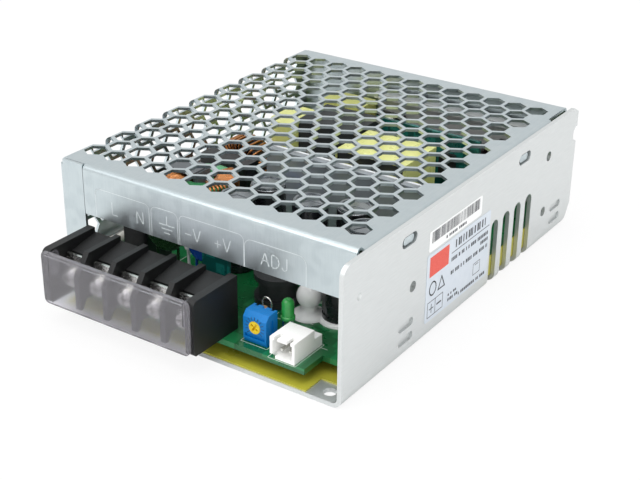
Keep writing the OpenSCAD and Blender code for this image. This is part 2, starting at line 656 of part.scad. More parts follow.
module trimmer_rotor() color("gold") difference() {
    union() {
        rod_y([trimmer_x, trimmer_y - 0.15, rotor_z], rotor_r, 1.35);
        rod_y([trimmer_x, trimmer_y + 1, rotor_z], 0.8, 1.8);
    }
    for (a = [35, 125]) translate([trimmer_x, trimmer_y - 0.15, rotor_z]) rotate([0, a, 0])
        cube([2.5, 1.4, 0.55], center = true);
}

module status_led() color("limegreen") translate([led_x, led_y, led_z]) rotate_extrude() union() {
    square([led_r + 0.4, 1]);
    square([led_r, led_body_h - led_r]);
    translate([0, led_body_h - led_r]) intersection() {
        circle(r = led_r);
        square(led_r);
    }
}

module led_leads() color("silver") for (s = [-1, 1]) translate([led_x + s * 1.27, led_y, 0])
    box([-0.25, -0.25, board_z - 1], [0.25, 0.25, led_z]);

module signal_header() color("ivory") translate([header_x, board_y0, top_z]) {
    w = header_w / 2;
    shroud_d = header_d - 3.4;
    difference() {
        union() {
            box([-w, 0, 0], [w, shroud_d, header_h]);
            box([-w, shroud_d - eps, 0], [w, header_d, header_h * 0.55]);
        }
        box([-w + header_wall, -1, header_wall], [w - header_wall, shroud_d - 1.6, header_h - header_wall]);
        // key slots in the roof, a relief under the mouth and the pins' ways out
        for (s = [-1, 1]) box([s * w * 0.52 - 0.55, -1, header_h - 1.5], [s * w * 0.52 + 0.55, 2.6, header_h + 1]);
        box([-w - 1, -1, -1], [-w + 1.6, 1.4, header_wall + 0.3]);
        for (s = [-1, 1]) {
            box([s * 1.25 - 0.34, shroud_d - 3, header_h * 0.36 - 0.34], [s * 1.25 + 0.34, header_d - 0.7, header_h * 0.36 + 0.34]);
            box([s * 1.25 - 0.34, header_d - 1.5, -1], [s * 1.25 + 0.34, header_d - 0.7, header_h * 0.36]);
        }
    }
}

module header_pins() color("silver") for (s = [-1, 1]) translate([header_x + s * 1.25, board_y0, top_z]) union() {
    box([-0.32, 1.6, header_h * 0.36 - 0.32], [0.32, header_d - 0.78, header_h * 0.36 + 0.32]);
    box([-0.32, header_d - 1.42, board_z - top_z - 1], [0.32, header_d - 0.78, header_h * 0.36]);
}

module standing_resistor() color("burlywood") translate([resistor_x, resistor_y, top_z + 0.4]) union() {
    cylinder(r = 1, h = 5.6);
    for (z = [0, 4.4]) translate([0, 0, z]) cylinder(r = 1.2, h = 1.2);
}

module resistor_lead() color("silver") translate([resistor_x + 1.3, resistor_y, top_z + 6.3]) union() {
    rotate([90, 0, 0]) rotate_extrude(angle = 180) translate([1.3, 0]) circle(r = 0.27);
    translate([1.3, 0, -6.3]) cylinder(r = 0.31, h = 6.36);
    translate([-1.3, 0, -0.3]) cylinder(r = 0.31, h = 0.36);
}

// ---------------------------------------------------------------- wound parts

module transformer_core() color("dimgray") translate([transformer_at[0], transformer_at[1], top_z + bobbin_h]) difference() {
    w = transformer_w / 2 - wrap_t - 0.05;
    d = transformer_d / 2 - 0.6;
    h = transformer_h - bobbin_h - wrap_t - 0.05;
    box([-w, -d, 0], [w, d, h]);
    for (s = [-1, 1]) box([s * w * 0.55 - w * 0.24, -d - 1, 3.4], [s * w * 0.55 + w * 0.24, d + 1, h - 3.4]);
}

module transformer_coil() color("khaki") translate([transformer_at[0], transformer_at[1], top_z + bobbin_h]) {
    w = transformer_w / 2 - wrap_t - 0.05;
    h = transformer_h - bobbin_h - wrap_t - 0.05;
    reach = transformer_d / 2 + 2;
    for (s = [-1, 1]) box([s * w * 0.55 - w * 0.24 + 0.1, -reach, 3.5], [s * w * 0.55 + w * 0.24 - 0.1, reach, h - 3.5]);
    box([-w * 0.35, reach - 2, 3.5], [w * 0.35, reach, h - 3.5]);
}

module transformer_wrap() color("khaki") translate([transformer_at[0], transformer_at[1], top_z + bobbin_h]) {
    h = transformer_h - bobbin_h;
    along_y(-transformer_d / 2, transformer_d) difference() {
        translate([-transformer_w / 2, -wrap_t]) square([transformer_w, h + wrap_t]);
        translate([-transformer_w / 2 + wrap_t, 0]) square([transformer_w - 2 * wrap_t, h - wrap_t]);
    }
}

module transformer_bobbin() color("black") translate([transformer_at[0], transformer_at[1], top_z]) union() {
    w = transformer_w / 2;
    d = transformer_d / 2;
    box([-w + 1, -d - 1.6, 0.6], [w - 1, d + 1.6, bobbin_h - wrap_t - 0.1]);
    for (s = [-1, 1], i = [-3 : 3]) translate([i * 2.9, s * (d + 0.7), 0]) cylinder(r = 0.5, h = 1);
    // upstand that carries the lead-out wires between the two front windings
    box([-w * 0.28, -d - 1.5, bobbin_h - wrap_t - 0.2], [w * 0.28, -d - 0.1, transformer_h - 6]);
}

module boost_core() color("dimgray") translate([boost_at[0], boost_at[1], top_z + boost_base_h]) difference() {
    w = boost_w / 2;
    d = boost_d / 2;
    h = boost_h - boost_base_h;
    box([-w, -d, 0], [w, d, h]);
    for (s = [-1, 1]) along_x(-w - 1, boost_w + 2)
        translate([s * d * 0.55 - d * 0.22, 3.6]) square([d * 0.44, h - 7.2]);
}

module boost_coil() color("khaki") translate([boost_at[0], boost_at[1], top_z + boost_base_h]) {
    w = boost_w / 2;
    d = boost_d / 2;
    h = boost_h - boost_base_h;
    for (s = [-1, 1]) along_x(-w - 3, boost_w + 3.7)
        translate([s * d * 0.55 - d * 0.22 + 0.1, 3.7]) square([d * 0.44 - 0.2, h - 7.4]);
    translate([0, 0, 0.1]) linear_extrude(height = h - 1.5)
        rounded_rect(-w - boost_reach, -d - 3, -w - 0.1, d - 3.5, 3.5);
}

module boost_bobbin() color("black") translate([boost_at[0], boost_at[1], top_z]) union() {
    box([-boost_w / 2 - boost_reach + 2, -boost_d / 2 - 1, 0.6], [boost_w / 2 + 1, boost_d / 2 - 0.4, boost_base_h - 0.02]);
    for (x = [-1, 0, 1], y = [-1, 1]) translate([x * boost_w * 0.4, y * boost_d * 0.4, 0]) cylinder(r = 0.5, h = 1);
}

// A ring core lying flat, and a winding that wraps a sector of it
module ring_core(r_out, r_in, h) rotate_extrude() translate([r_in, 0]) rounded_rect(0, 0, r_out - r_in, h, 0.6);

module ring_winding(r_out, r_in, h, a0, a) rotate(a0) rotate_extrude(angle = a) difference() {
    translate([r_in - wire_t, -wire_t]) rounded_rect(0, 0, r_out - r_in + 2 * wire_t, h + 2 * wire_t, 1);
    translate([r_in - 0.05, -0.05]) square([r_out - r_in + 0.1, h + 0.1]);
}

module line_choke_core() color("seagreen") translate([line_at[0], line_at[1], line_ring_z])
    ring_core(line_ring_r, line_ring_in, line_ring_h);

module line_choke_coils() color("peru") translate([line_at[0], line_at[1], line_ring_z]) {
    ring_winding(line_ring_r, line_ring_in, line_ring_h, -58, 116);
    ring_winding(line_ring_r, line_ring_in, line_ring_h, 122, 116);
}

module line_choke_holder() color("dimgray") translate([line_at[0], line_at[1], top_z]) union() {
    box([-line_ring_r + 1, -line_ring_r + 1, 0], [line_ring_r - 1, line_ring_r - 1, line_base_h]);
    box([-0.8, -line_ring_in + wire_t + 0.4, 2], [0.8, line_ring_in - wire_t - 0.4, line_ring_z - top_z + line_ring_h + 2]);
    translate([-6, -5.5, line_ring_z - top_z + line_ring_h + wire_t + 0.3]) cube([13, 9.5, 1]);
}

module filter_choke_core() color("dimgray") translate([filter_at[0], filter_at[1] + filter_ring_h / 2, filter_z])
    rotate([90, 0, 0]) ring_core(filter_ring_r, filter_ring_in, filter_ring_h);

module filter_choke_coil() color("peru") translate([filter_at[0], filter_at[1] + filter_ring_h / 2, filter_z])
    rotate([90, 0, 0]) ring_winding(filter_ring_r, filter_ring_in, filter_ring_h, -70, 320);

module output_choke() color("dimgray") translate([out_choke_at[0], out_choke_at[1], top_z + 0.3]) difference() {
    union() {
        cylinder(r = out_choke_r, h = 1.6);
        translate([0, 0, 1.5]) cylinder(r = out_choke_r - 1.2, h = 5.2);
        translate([0, 0, 6.6]) cylinder(r = out_choke_r, h = 1.6);
    }
    translate([0, 0, 6]) cylinder(r = 1.6, h = 4);
}

// ---------------------------------------------------------------- capacitors

module box_part(x, y, size) translate([0, 0, top_z + 0.2]) linear_extrude(height = size[2])
    rounded_rect(x, y, x + size[0], y + size[1], 0.8);

module box_capacitors() color("dimgray") {
    box_part(input_cap_x, input_cap_y, input_cap);
    box_part(x_cap_x, x_cap_y, x_cap);
}

module pulse_capacitor() color("gold") box_part(pulse_x, pulse_y, pulse_cap);

module bulk_capacitor() color("dimgray") translate([bulk_at[0] - bulk_len / 2, bulk_at[1], top_z + bulk_r + 0.3])
    rotate([0, 90, 0]) rotate_extrude() union() {
        square([bulk_r - 0.9, bulk_len]);
        translate([0, 1]) square([bulk_r, bulk_len - 2]);
        translate([bulk_r - 1, 1]) circle(r = 1);
        translate([bulk_r - 1, bulk_len - 1]) circle(r = 1);
    }

module can(h) difference() {
    rotate_extrude() union() {
        square([out_cap_r - 0.3, h - 0.3]);
        square([out_cap_r - 0.5, h]);
        translate([0, 0]) square([out_cap_r, 2]);
        translate([0, 2.8]) square([out_cap_r, h - 4]);
        translate([out_cap_r - 0.6, h - 1.2]) circle(r = 0.6);
    }
    translate([0, 0, h - 0.35]) cylinder(r = out_cap_r - 1.1, h = 1);
}

module output_capacitors() color("dimgray") for (p = out_cap_at) translate([p[0], p[1], top_z + 0.2]) union() {
    can(out_cap_h);
    // pressure-relief scores stand as thin ridges between the pressed quarters
    for (a = [0 : 120 : 240]) rotate(a) box([0, -0.15, out_cap_h - 0.5], [out_cap_r - 1, 0.15, out_cap_h - 0.2]);
}

// A disc on two leads, its face towards the terminal end
module disc_part(at, r, t, z) union() {
    translate([at[0], at[1] + t / 2, z]) rotate([90, 0, 0]) rotate_extrude() union() {
        square([r - 1, t]);
        translate([0, 1]) square([r, t - 2]);
        for (y = [1, t - 1]) translate([r - 1, y]) circle(r = 1);
    }
    for (s = [-1, 1]) translate([at[0] + s * r * 0.55, at[1], top_z]) cylinder(r = 0.4, h = z - top_z - r * 0.5);
}

module varistor() color("darkolivegreen") disc_part(varistor_at, 6.6, 4, top_z + 16.2);

module safety_capacitors() color("royalblue") {
    disc_part(safety_at[0], 4.6, 3.4, top_z + 14.6);
    disc_part(safety_at[1], 4.6, 3.4, top_z + 11);
}

// ---------------------------------------------------------------- boards, sheet and sink

module control_board() color("teal")
    box([control_x[0], control_y, top_z], [control_x[1], control_y + control_t, top_z + control_h]);

module control_chips() color("dimgray") for (i = [0 : 2]) translate([control_x[0] + 7 + i * 9.5, 0, 0])
    box([-2.6, control_y - 1.3, top_z + 12], [2.6, control_y, top_z + 19.5]);

module sense_board() color("teal") box([-4.5, sense_y, top_z], [4.2, sense_y + 1, top_z + 15.4]);

module barrier_sheet() color("lightgray") union() {
    box([barrier_x[0], barrier_y - barrier_t / 2, top_z], [barrier_x[1], barrier_y + barrier_t / 2, top_z + barrier_h]);
    box([barrier_x[0], barrier_y - 2.4, top_z + barrier_h - barrier_t],
        [barrier_x[1], barrier_y + barrier_t / 2, top_z + barrier_h]);
}

module heat_sink() color("silver") difference() {
    union() {
        box([sink_x[0], sink_y - sink_t, top_z], [sink_x[1], sink_y, top_z + sink_h]);
        box([sink_x[0], sink_y - sink_fold, top_z + sink_h - sink_t], [sink_x[1], sink_y, top_z + sink_h]);
    }
    for (x = transistor_x) rod_y([x, sink_y - sink_t - 1, top_z + 15.6], 1.3, sink_t + 2);
}

module power_transistors() color("dimgray") for (x = transistor_x) translate([x, sink_y - sink_t - 0.05, top_z]) difference() {
    union() {
        box([-5, -4.4, 3.5], [5, 0, 12.5]);
        box([-5, -1.4, 12.4], [5, 0, 18.6]);
        for (i = [-1 : 1]) box([i * 2.54 - 0.4, -2.9, 0], [i * 2.54 + 0.4, -2.3, 3.6]);
    }
    rod_y([0, -6, 15.6], 1.6, 8);
}

module sink_screws() color("silver") for (x = transistor_x) translate([x, sink_y - sink_t - 1.45, top_z + 15.6])
    rotate([90, 0, 0]) pan_screw(2.5, 1.6, 1.25, 3.4);

module line_fuse() color("ivory") rod_fuse(fuse_x, fuse_y, 15);
module rod_fuse(x, y, len) union() {
    rod_y([x, y, top_z + 2.6], 1.5, len);
    for (s = [0, 1]) rod_y([x, y + s * (len - 3.6), top_z + 2.6], 1.8, 3.6);
    for (s = [0, 1]) translate([x, y + 1.8 + s * (len - 3.6), top_z]) cylinder(r = 0.4, h = 2);
}

module glue_dabs() color("whitesmoke") {
    // the dab beside the status lamp runs into the fillet round the front capacitor
    difference() {
        union() {
            translate([glue_at[0], glue_at[1], top_z]) rotate_extrude() union() {
                square([4.6, 0.7]);
                square([3, 5.6]);
                translate([0, 5.6]) intersection() {
                    circle(r = 3.1);
                    translate([0, -3.1]) square([3.1, 6.2]);
                }
            }
            translate([out_cap_at[5][0], out_cap_at[5][1], top_z]) cylinder(r1 = out_cap_r + 1.1, r2 = out_cap_r + 0.7, h = 0.9);
        }
        translate([out_cap_at[5][0], out_cap_at[5][1], top_z - 1]) cylinder(r = out_cap_r + 0.05, h = out_cap_h + 3);
        translate([out_choke_at[0], out_choke_at[1], top_z - 1]) cylinder(r = out_choke_r + 0.1, h = out_cap_h);
    }
    // the dab between the varistor and the blue disc
    translate([glue_bead_at[0], glue_bead_at[1], top_z]) rotate_extrude() union() {
        square([0.5, 12]);
        translate([0, 12.2]) intersection() {
            circle(r = 1.1);
            translate([0, -1.1]) square([1.1, 2.2]);
        }
    }
}

// ---------------------------------------------------------------- labels

module rating_label() color("aliceblue") along_x(wall_x, label_t) rounded_rect(-25.4, 5, 9.2, 24.8, 0.8);
module serial_label() color("white") along_x(wall_x, label_t) rounded_rect(-24.8, 25.5, 3.4, 31.3, 0.3);

chassis();
mesh_cover();
cover_screws();
insulation_film();
main_board();
board_posts();
board_screws();
terminal_housing();
terminal_tabs();
clamp_plate(1);  // clamp_plate_1
clamp_plate(2);  // clamp_plate_2
clamp_plate(3);  // clamp_plate_3
clamp_plate(4);  // clamp_plate_4
clamp_plate(5);  // clamp_plate_5
terminal_screw(1);  // terminal_screw_1
terminal_screw(2);  // terminal_screw_2
terminal_screw(3);  // terminal_screw_3
terminal_screw(4);  // terminal_screw_4
terminal_screw(5);  // terminal_screw_5
terminal_cover();
trimmer_body();
trimmer_rotor();
status_led();
led_leads();
signal_header();
header_pins();
standing_resistor();
resistor_lead();
transformer_core();
transformer_coil();
transformer_wrap();
transformer_bobbin();
boost_core();
boost_coil();
boost_bobbin();
line_choke_core();
line_choke_coils();
line_choke_holder();
filter_choke_core();
filter_choke_coil();
box_capacitors();
pulse_capacitor();
bulk_capacitor();
output_capacitors();
safety_capacitors();
varistor();
output_choke();
control_board();
control_chips();
sense_board();
barrier_sheet();
heat_sink();
power_transistors();
sink_screws();
line_fuse();
glue_dabs();
rating_label();
serial_label();
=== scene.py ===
"""Dresses an enclosed switching power supply: finishes, printed and wound detail, studio and camera."""

import logging
import math
import random
from dataclasses import dataclass
from enum import Enum
from typing import Callable, Iterable, Sequence

import bpy
from mathutils import Matrix, Vector


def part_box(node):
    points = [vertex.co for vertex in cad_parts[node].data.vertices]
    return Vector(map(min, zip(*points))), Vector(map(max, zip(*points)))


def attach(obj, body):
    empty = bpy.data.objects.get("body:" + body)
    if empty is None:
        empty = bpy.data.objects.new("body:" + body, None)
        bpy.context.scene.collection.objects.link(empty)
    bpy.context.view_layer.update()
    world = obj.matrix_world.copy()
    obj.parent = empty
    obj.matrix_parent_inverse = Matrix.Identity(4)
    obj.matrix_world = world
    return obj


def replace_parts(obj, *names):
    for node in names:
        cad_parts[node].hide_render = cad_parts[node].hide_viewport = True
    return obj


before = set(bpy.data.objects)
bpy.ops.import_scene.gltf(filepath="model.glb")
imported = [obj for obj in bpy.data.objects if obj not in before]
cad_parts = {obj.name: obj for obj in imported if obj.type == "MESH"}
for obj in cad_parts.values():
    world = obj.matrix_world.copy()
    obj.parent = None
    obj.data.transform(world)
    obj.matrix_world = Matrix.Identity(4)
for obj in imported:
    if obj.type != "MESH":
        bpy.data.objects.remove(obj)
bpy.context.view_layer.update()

MM = 0.001
SUPPLY = "supply"
Tree = bpy.types.NodeTree
Socket = bpy.types.NodeSocket
Object = bpy.types.Object
log = logging.getLogger("power_supply")


def linear(colour: str) -> tuple[float, float, float, float]:
    """Turns an sRGB hex colour into linear RGBA.

    Args:
        colour: six hex digits, with or without a leading hash.

    Returns:
        The linear colour with alpha 1.
    """
    parts = [int(colour.lstrip("#")[i : i + 2], 16) / 255 for i in (0, 2, 4)]
    return (*[c / 12.92 if c <= 0.04045 else ((c + 0.055) / 1.055) ** 2.4 for c in parts], 1.0)


def add(
    tree: Tree,
    kind: str,
    settings: dict[str | int, object] | None = None,
    links: dict[str | int, Socket | bpy.types.Node] | None = None,
) -> bpy.types.Node:
    """Adds a node to a tree with its settings and links.

    Args:
        tree: the shader or geometry tree.
        kind: the node's type name.
        settings: lower-case keys are attributes of the node, others are inputs.
        links: input name or index to the socket that feeds it, or to the node whose first output does.

    Returns:
        The new node.
    """
    node = tree.nodes.new(kind)
    for key, value in (settings or {}).items():
        if isinstance(key, str) and key[0].islower():
            setattr(node, key, value)
    for key, value in (settings or {}).items():
        if isinstance(key, int) or not key[0].islower():
            node.inputs[key].default_value = value
    for key, source in (links or {}).items():
        tree.links.new(source if isinstance(source, Socket) else source.outputs[0], node.inputs[key])
    return node


def calc(tree: Tree, operation: str, *values: Socket | float) -> Socket:
    """Does one sum on sockets or numbers.

    Args:
        tree: the shader or geometry tree.
        operation: the sum's name.
        values: its sockets or numbers, in order.

    Returns:
        The socket that carries the result.
    """
    sockets = {i: v for i, v in enumerate(values) if isinstance(v, Socket)}
    numbers = {i: v for i, v in enumerate(values) if i not in sockets}
    return add(tree, "ShaderNodeMath", {"operation": operation, **numbers}, sockets).outputs[0]


def box_mm(node: str) -> tuple[Vector, Vector]:
    """Gives a CAD node's lowest and highest corner in millimetres.

    Args:
        node: name of the CAD node.

    Returns:
        The two corners.
    """
    low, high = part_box(node)
    return Vector(low) / MM, Vector(high) / MM


# ------------------------------------------------------------------ finishes


@dataclass(frozen=True)
class Field:
    """A box-shaped field of another colour on a finish, in millimetres of the row frame."""

    low: tuple[float, float, float]
    high: tuple[float, float, float]
    colour: str
    metallic: float = 0.0
    roughness: float = 0.5

    def mask(self, tree: Tree, place: Socket) -> Socket:
        """Gives 1 inside the field and 0 outside.

        Args:
            tree: the shader tree.
            place: object coordinates.

        Returns:
            The socket that carries the mask.
        """
        middle = [(a + b) / 2 * MM for a, b in zip(self.low, self.high)]
        half = [(b - a) / 2 * MM for a, b in zip(self.low, self.high)]
        off = add(tree, "ShaderNodeVectorMath", {"operation": "SUBTRACT", 1: middle}, {0: place})
        size = add(tree, "ShaderNodeVectorMath", {"operation": "ABSOLUTE"}, {0: off})
        past = add(tree, "ShaderNodeVectorMath", {"operation": "SUBTRACT", 1: half}, {0: size})
        x, y, z = add(tree, "ShaderNodeSeparateXYZ", None, {0: past}).outputs
        return calc(tree, "LESS_THAN", calc(tree, "MAXIMUM", calc(tree, "MAXIMUM", x, y), z), 0.0)


@dataclass(frozen=True)
class Finish:
    """A surface: what it is made of and how it was made.

    The grain is a noise of the given size in millimetres, stretched along one axis for rolled or
    brushed stock. It varies the colour towards the second colour, the gloss, and the height.
    """

    name: str
    colour: str
    second: str
    roughness: float
    metallic: float = 0.0
    grain_mm: float = 1.0
    stretch: tuple[float, float, float] = (1.0, 1.0, 1.0)
    mix: float = 0.5
    gloss_swing: float = 0.05
    bump_mm: float = 0.01
    ior: float = 1.5
    coat: float = 0.0
    transmission: float = 0.0
    subsurface: float = 0.0
    subsurface_mm: float = 1.0
    fields: tuple[Field, ...] = ()

    def material(self) -> bpy.types.Material:
        """Builds the material once and gives it back on later calls."""
        known = bpy.data.materials.get(self.name)
        if known:
            return known
        made = bpy.data.materials.new(self.name)
        made.use_nodes = True
        tree = made.node_tree
        tree.nodes.clear()
        place = add(tree, "ShaderNodeTexCoord").outputs["Object"]
        grain = self.grain(tree, place)
        colour, metallic, rough = self.surface(tree, place, grain)
        shader = add(
            tree,
            "ShaderNodeBsdfPrincipled",
            {
                "Metallic": self.metallic,
                "Roughness": self.roughness,
                "IOR": self.ior,
                "Coat Weight": self.coat,
                "Coat Roughness": 0.08,
                "Transmission Weight": self.transmission,
                "Subsurface Weight": self.subsurface,
                "Subsurface Radius": (1.0, 1.0, 1.0),
                "Subsurface Scale": self.subsurface_mm * MM,
            },
            {"Base Color": colour, "Roughness": rough},
        )
        if metallic:
            tree.links.new(metallic, shader.inputs["Metallic"])
        if self.bump_mm:
            height = {"Strength": 1.0, "Distance": self.bump_mm * MM}
            bump = add(tree, "ShaderNodeBump", height, {"Height": grain})
            tree.links.new(bump.outputs[0], shader.inputs["Normal"])
        add(tree, "ShaderNodeOutputMaterial", None, {"Surface": shader})
        return made

    def grain(self, tree: Tree, place: Socket) -> Socket:
        """Gives the grain's height, from 0 to 1.

        Args:
            tree: the shader tree.
            place: object coordinates.

        Returns:
            The socket that carries the grain.
        """
        scale = [1.0 / (self.grain_mm * MM * s) for s in self.stretch]
        spread = add(tree, "ShaderNodeMapping", {"Scale": scale}, {"Vector": place})
        pattern = {"Scale": 1.0, "Detail": 3.0, "Roughness": 0.55}
        return add(tree, "ShaderNodeTexNoise", pattern, {"Vector": spread}).outputs[0]

    def surface(self, tree: Tree, place: Socket, grain: Socket) -> tuple[Socket, Socket | None, Socket]:
        """Mixes the colours, the fields and the gloss.

        Args:
            tree: the shader tree.
            place: object coordinates.
            grain: the grain from 0 to 1.

        Returns:
            Sockets for the colour, the metallic share (None where it is the same all over) and the roughness.
        """
        share = add(
            tree,
            "ShaderNodeMapRange",
            {"From Min": 0.35, "From Max": 0.65, "To Min": 0.0, "To Max": self.mix},
            {"Value": grain},
        )
        blend = add(
            tree,
            "ShaderNodeMix",
            {"data_type": "RGBA", 6: linear(self.colour), 7: linear(self.second)},
            {0: share},
        )
        gloss = add(
            tree,
            "ShaderNodeMapRange",
            {
                "From Min": 0.3,
                "From Max": 0.7,
                "To Min": max(0.02, self.roughness - self.gloss_swing),
                "To Max": min(1.0, self.roughness + self.gloss_swing),
            },
            {"Value": grain},
        )
        colour, rough, metallic = blend.outputs[2], gloss.outputs[0], None
        for patch in self.fields:
            mask = patch.mask(tree, place)
            painted = add(
                tree, "ShaderNodeMix", {"data_type": "RGBA", 7: linear(patch.colour)}, {0: mask, 6: colour}
            )
            shine = {"data_type": "FLOAT", 3: patch.roughness}
            shined = add(tree, "ShaderNodeMix", shine, {0: mask, 2: rough})
            colour, rough = painted.outputs[2], shined.outputs[0]
            if patch.metallic != self.metallic:
                start = {"data_type": "FLOAT", 3: patch.metallic, 2: self.metallic}
                metal = add(tree, "ShaderNodeMix", start, {0: mask})
                if metallic:
                    tree.links.new(metallic, metal.inputs[2])
                metallic = metal.outputs[0]
        return colour, metallic, rough


@dataclass(frozen=True)
class SpangledZinc(Finish):
    """Hot-dip galvanised sheet: a bluish skin broken into soft crystals a few millimetres wide."""

    crystal_mm: float = 2.6

    def grain(self, tree: Tree, place: Socket) -> Socket:
        """Mixes crystal facets with the fine rolling marks.

        Args:
            tree: the shader tree.
            place: object coordinates.

        Returns:
            The socket that carries the grain.
        """
        cells = add(
            tree,
            "ShaderNodeTexVoronoi",
            {"feature": "SMOOTH_F1", "Scale": 1.0 / (self.crystal_mm * MM), "Smoothness": 0.8},
            {"Vector": place},
        )
        tone = add(tree, "ShaderNodeRGBToBW", None, {0: cells.outputs["Color"]})
        fine = Finish.grain(self, tree, place)
        both = add(tree, "ShaderNodeMix", {"data_type": "FLOAT", 0: 0.55}, {2: tone, 3: fine})
        return both.outputs[0]


@dataclass(frozen=True)
class SolderResist(Finish):
    """Glossy solder resist over etched copper: tracks and pours show as a lighter, slightly raised green."""

    track_mm: float = 1.6
    track_colour: str = "#1A7442"
    coarse: float = 0.28
    bare: float = 0.42
    reach: float = 0.44

    def surface(self, tree: Tree, place: Socket, grain: Socket) -> tuple[Socket, Socket | None, Socket]:
        """Lays blocky tracks over the board colour.

        Args:
            tree: the shader tree.
            place: object coordinates.
            grain: the grain from 0 to 1.

        Returns:
            Sockets for the colour, the metallic share and the roughness.
        """
        colour, metallic, rough = Finish.surface(self, tree, place, grain)
        scale = 1.0 / (self.track_mm * MM)
        cells = add(
            tree,
            "ShaderNodeTexVoronoi",
            {"distance": "CHEBYCHEV", "Scale": scale * self.coarse, "Randomness": 0.85},
            {"Vector": place},
        )
        tone = add(tree, "ShaderNodeRGBToBW", None, {0: cells.outputs["Color"]})
        copper = calc(tree, "GREATER_THAN", tone.outputs[0], self.bare)
        inside = calc(tree, "LESS_THAN", cells.outputs["Distance"], self.reach)
        both = calc(tree, "MULTIPLY", copper, inside)
        track = {"data_type": "RGBA", 7: linear(self.track_colour)}
        toned = add(tree, "ShaderNodeMix", track, {0: both, 6: colour})
        return toned.outputs[2], metallic, rough


# Bare aluminium sheet, rolled along the case: pale, soft streaks, broad highlights.
ROLLED_SHEET = Finish(
    "rolled aluminium sheet", "#D7DADA", "#D0D3D3", 0.48, 1.0, 0.35, (1.0, 16.0, 1.0), 0.4, 0.04, 0.0006,
)
# Galvanised steel sheet: bluish, with crystals.
GALVANISED = SpangledZinc(
    "galvanised steel sheet", "#C2CCCF", "#B6C1C5", 0.37, 1.0, 0.5, (0.7, 9.0, 9.0), 0.5, 0.07, 0.0005,
)
# Glass-filled PBT, spark-textured mould: near black with a dry sheen.
BLACK_PBT = Finish(
    "black moulded PBT", "#060708", "#0C0D0E", 0.52, 0.0, 0.12, mix=0.6, gloss_swing=0.08, bump_mm=0.01,
)
# Clear polycarbonate flap, a little hazy from handling.
CLEAR_PC = Finish(
    "clear polycarbonate", "#E6E4EA", "#DCDAE2", 0.2, grain_mm=6.0, bump_mm=0.0, ior=1.4,
    transmission=0.93, gloss_swing=0.04,
)
# Folded polyester insulating sheet: grey and see-through, with a soft shine.
CLEAR_PET = Finish(
    "clear polyester sheet", "#C3CAD0", "#B8C0C8", 0.2, grain_mm=12.0, bump_mm=0.01, ior=1.45,
    transmission=0.5, gloss_swing=0.03,
)
# Painted highlight on the clear sheet's cut edge: a thin white line that stands in for the light coming out
# there.
SHEET_EDGE_HIGHLIGHT = Finish("painted highlight on clear sheet edge", "#F4F6F8", "#E6EBEE", 0.3, grain_mm=1.5, bump_mm=0.0)
# Tin over brass: bright, a little warm, uneven gloss.
BRIGHT_TIN = Finish(
    "bright tinned brass", "#DADAD4", "#C9C9C2", 0.22, 1.0, 0.6, mix=0.5, gloss_swing=0.08, bump_mm=0.004,
)
# Nickel on steel: warm grey metal with small sharp highlights.
NICKEL_SCREW = Finish(
    "nickel plated steel", "#CFCFC9", "#B7B7B1", 0.25, 1.0, 0.4, mix=0.5, gloss_swing=0.1, bump_mm=0.005,
)
# Polyester film under the board: olive yellow with a gloss skin.
OLIVE_FILM = Finish(
    "polyester insulating film", "#B3AE3C", "#A7A232", 0.3, grain_mm=5.0, mix=0.5, bump_mm=0.02, coat=0.2,
)
# Solder resist on the main board: deep glossy green with lighter tracks.
GREEN_BOARD = SolderResist(
    "green solder resist", "#0D5E31", "#0A5229", 0.3, grain_mm=4.0, mix=0.5, bump_mm=0.004, coat=0.4,
)
# Solder resist on the small boards: bluer green, finer tracks.
TEAL_BOARD = SolderResist(
    "teal solder resist", "#0E5450", "#0B4642", 0.3, grain_mm=3.0, bump_mm=0.004, coat=0.3, track_mm=0.9,
    track_colour="#1B726B",
)
# Trimmer housing: clear strong blue, half matt.
BLUE_PBT = Finish("blue moulded PBT", "#0076C0", "#006CB2", 0.42, grain_mm=0.3, bump_mm=0.006, ior=1.38)
# Trimmer rotor: warm yellow, half matt.
YELLOW_NYLON = Finish("yellow moulded nylon", "#EBCB1E", "#DDBB16", 0.4, grain_mm=0.4, bump_mm=0.004)
# Header housing: near white, with light that goes a little way in.
IVORY_NYLON = Finish(
    "ivory moulded nylon", "#FAFAF8", "#F3F3F0", 0.42, grain_mm=0.3, bump_mm=0.004, subsurface=0.25,
    subsurface_mm=0.8,
)
# Lamp: green, milky and lit through, under a smooth skin.
GREEN_EPOXY = Finish(
    "diffused green epoxy", "#36B254", "#2CA248", 0.14, grain_mm=1.0, bump_mm=0.0, transmission=0.35,
    subsurface=0.5, subsurface_mm=1.2, coat=0.3,
)
# Resistor body: dry tan.
RESISTOR_CEMENT = Finish("tan resistor cement", "#B9946A", "#A88459", 0.5, grain_mm=0.3, bump_mm=0.01)
# Ground ferrite: dark grey, faintly speckled.
FERRITE = Finish("ground ferrite", "#2C2F31", "#232527", 0.5, grain_mm=0.4, mix=0.7, bump_mm=0.01)
# Wrapped tape: pale yellow with soft ripples and a gloss skin.
YELLOW_TAPE = Finish(
    "yellow polyester tape", "#EFF19A", "#E4E786", 0.3, grain_mm=3.0, mix=0.6, bump_mm=0.03, coat=0.3,
)
# Epoxy on a ring core: mid green, smooth and shiny.
GREEN_RING = Finish(
    "green epoxy coated core", "#4BAE70", "#3F9C62", 0.3, grain_mm=0.8, bump_mm=0.01, coat=0.3,
)
# Polyurethane enamel over copper: orange metal with a clear skin.
COPPER = Finish(
    "enamelled copper wire", "#D08C55", "#AD6D3C", 0.32, 1.0, 0.7, mix=0.7, gloss_swing=0.08,
    bump_mm=0.004, coat=0.4,
)
# Choke holder: plain matt grey.
GREY_MOULDING = Finish("dark grey moulding", "#6A6E72", "#606468", 0.5, grain_mm=0.2, bump_mm=0.008)
# Box capacitors: black, half matt.
BLACK_CASE = Finish("black filled case", "#1B1B1D", "#232326", 0.4, grain_mm=0.3, bump_mm=0.008)
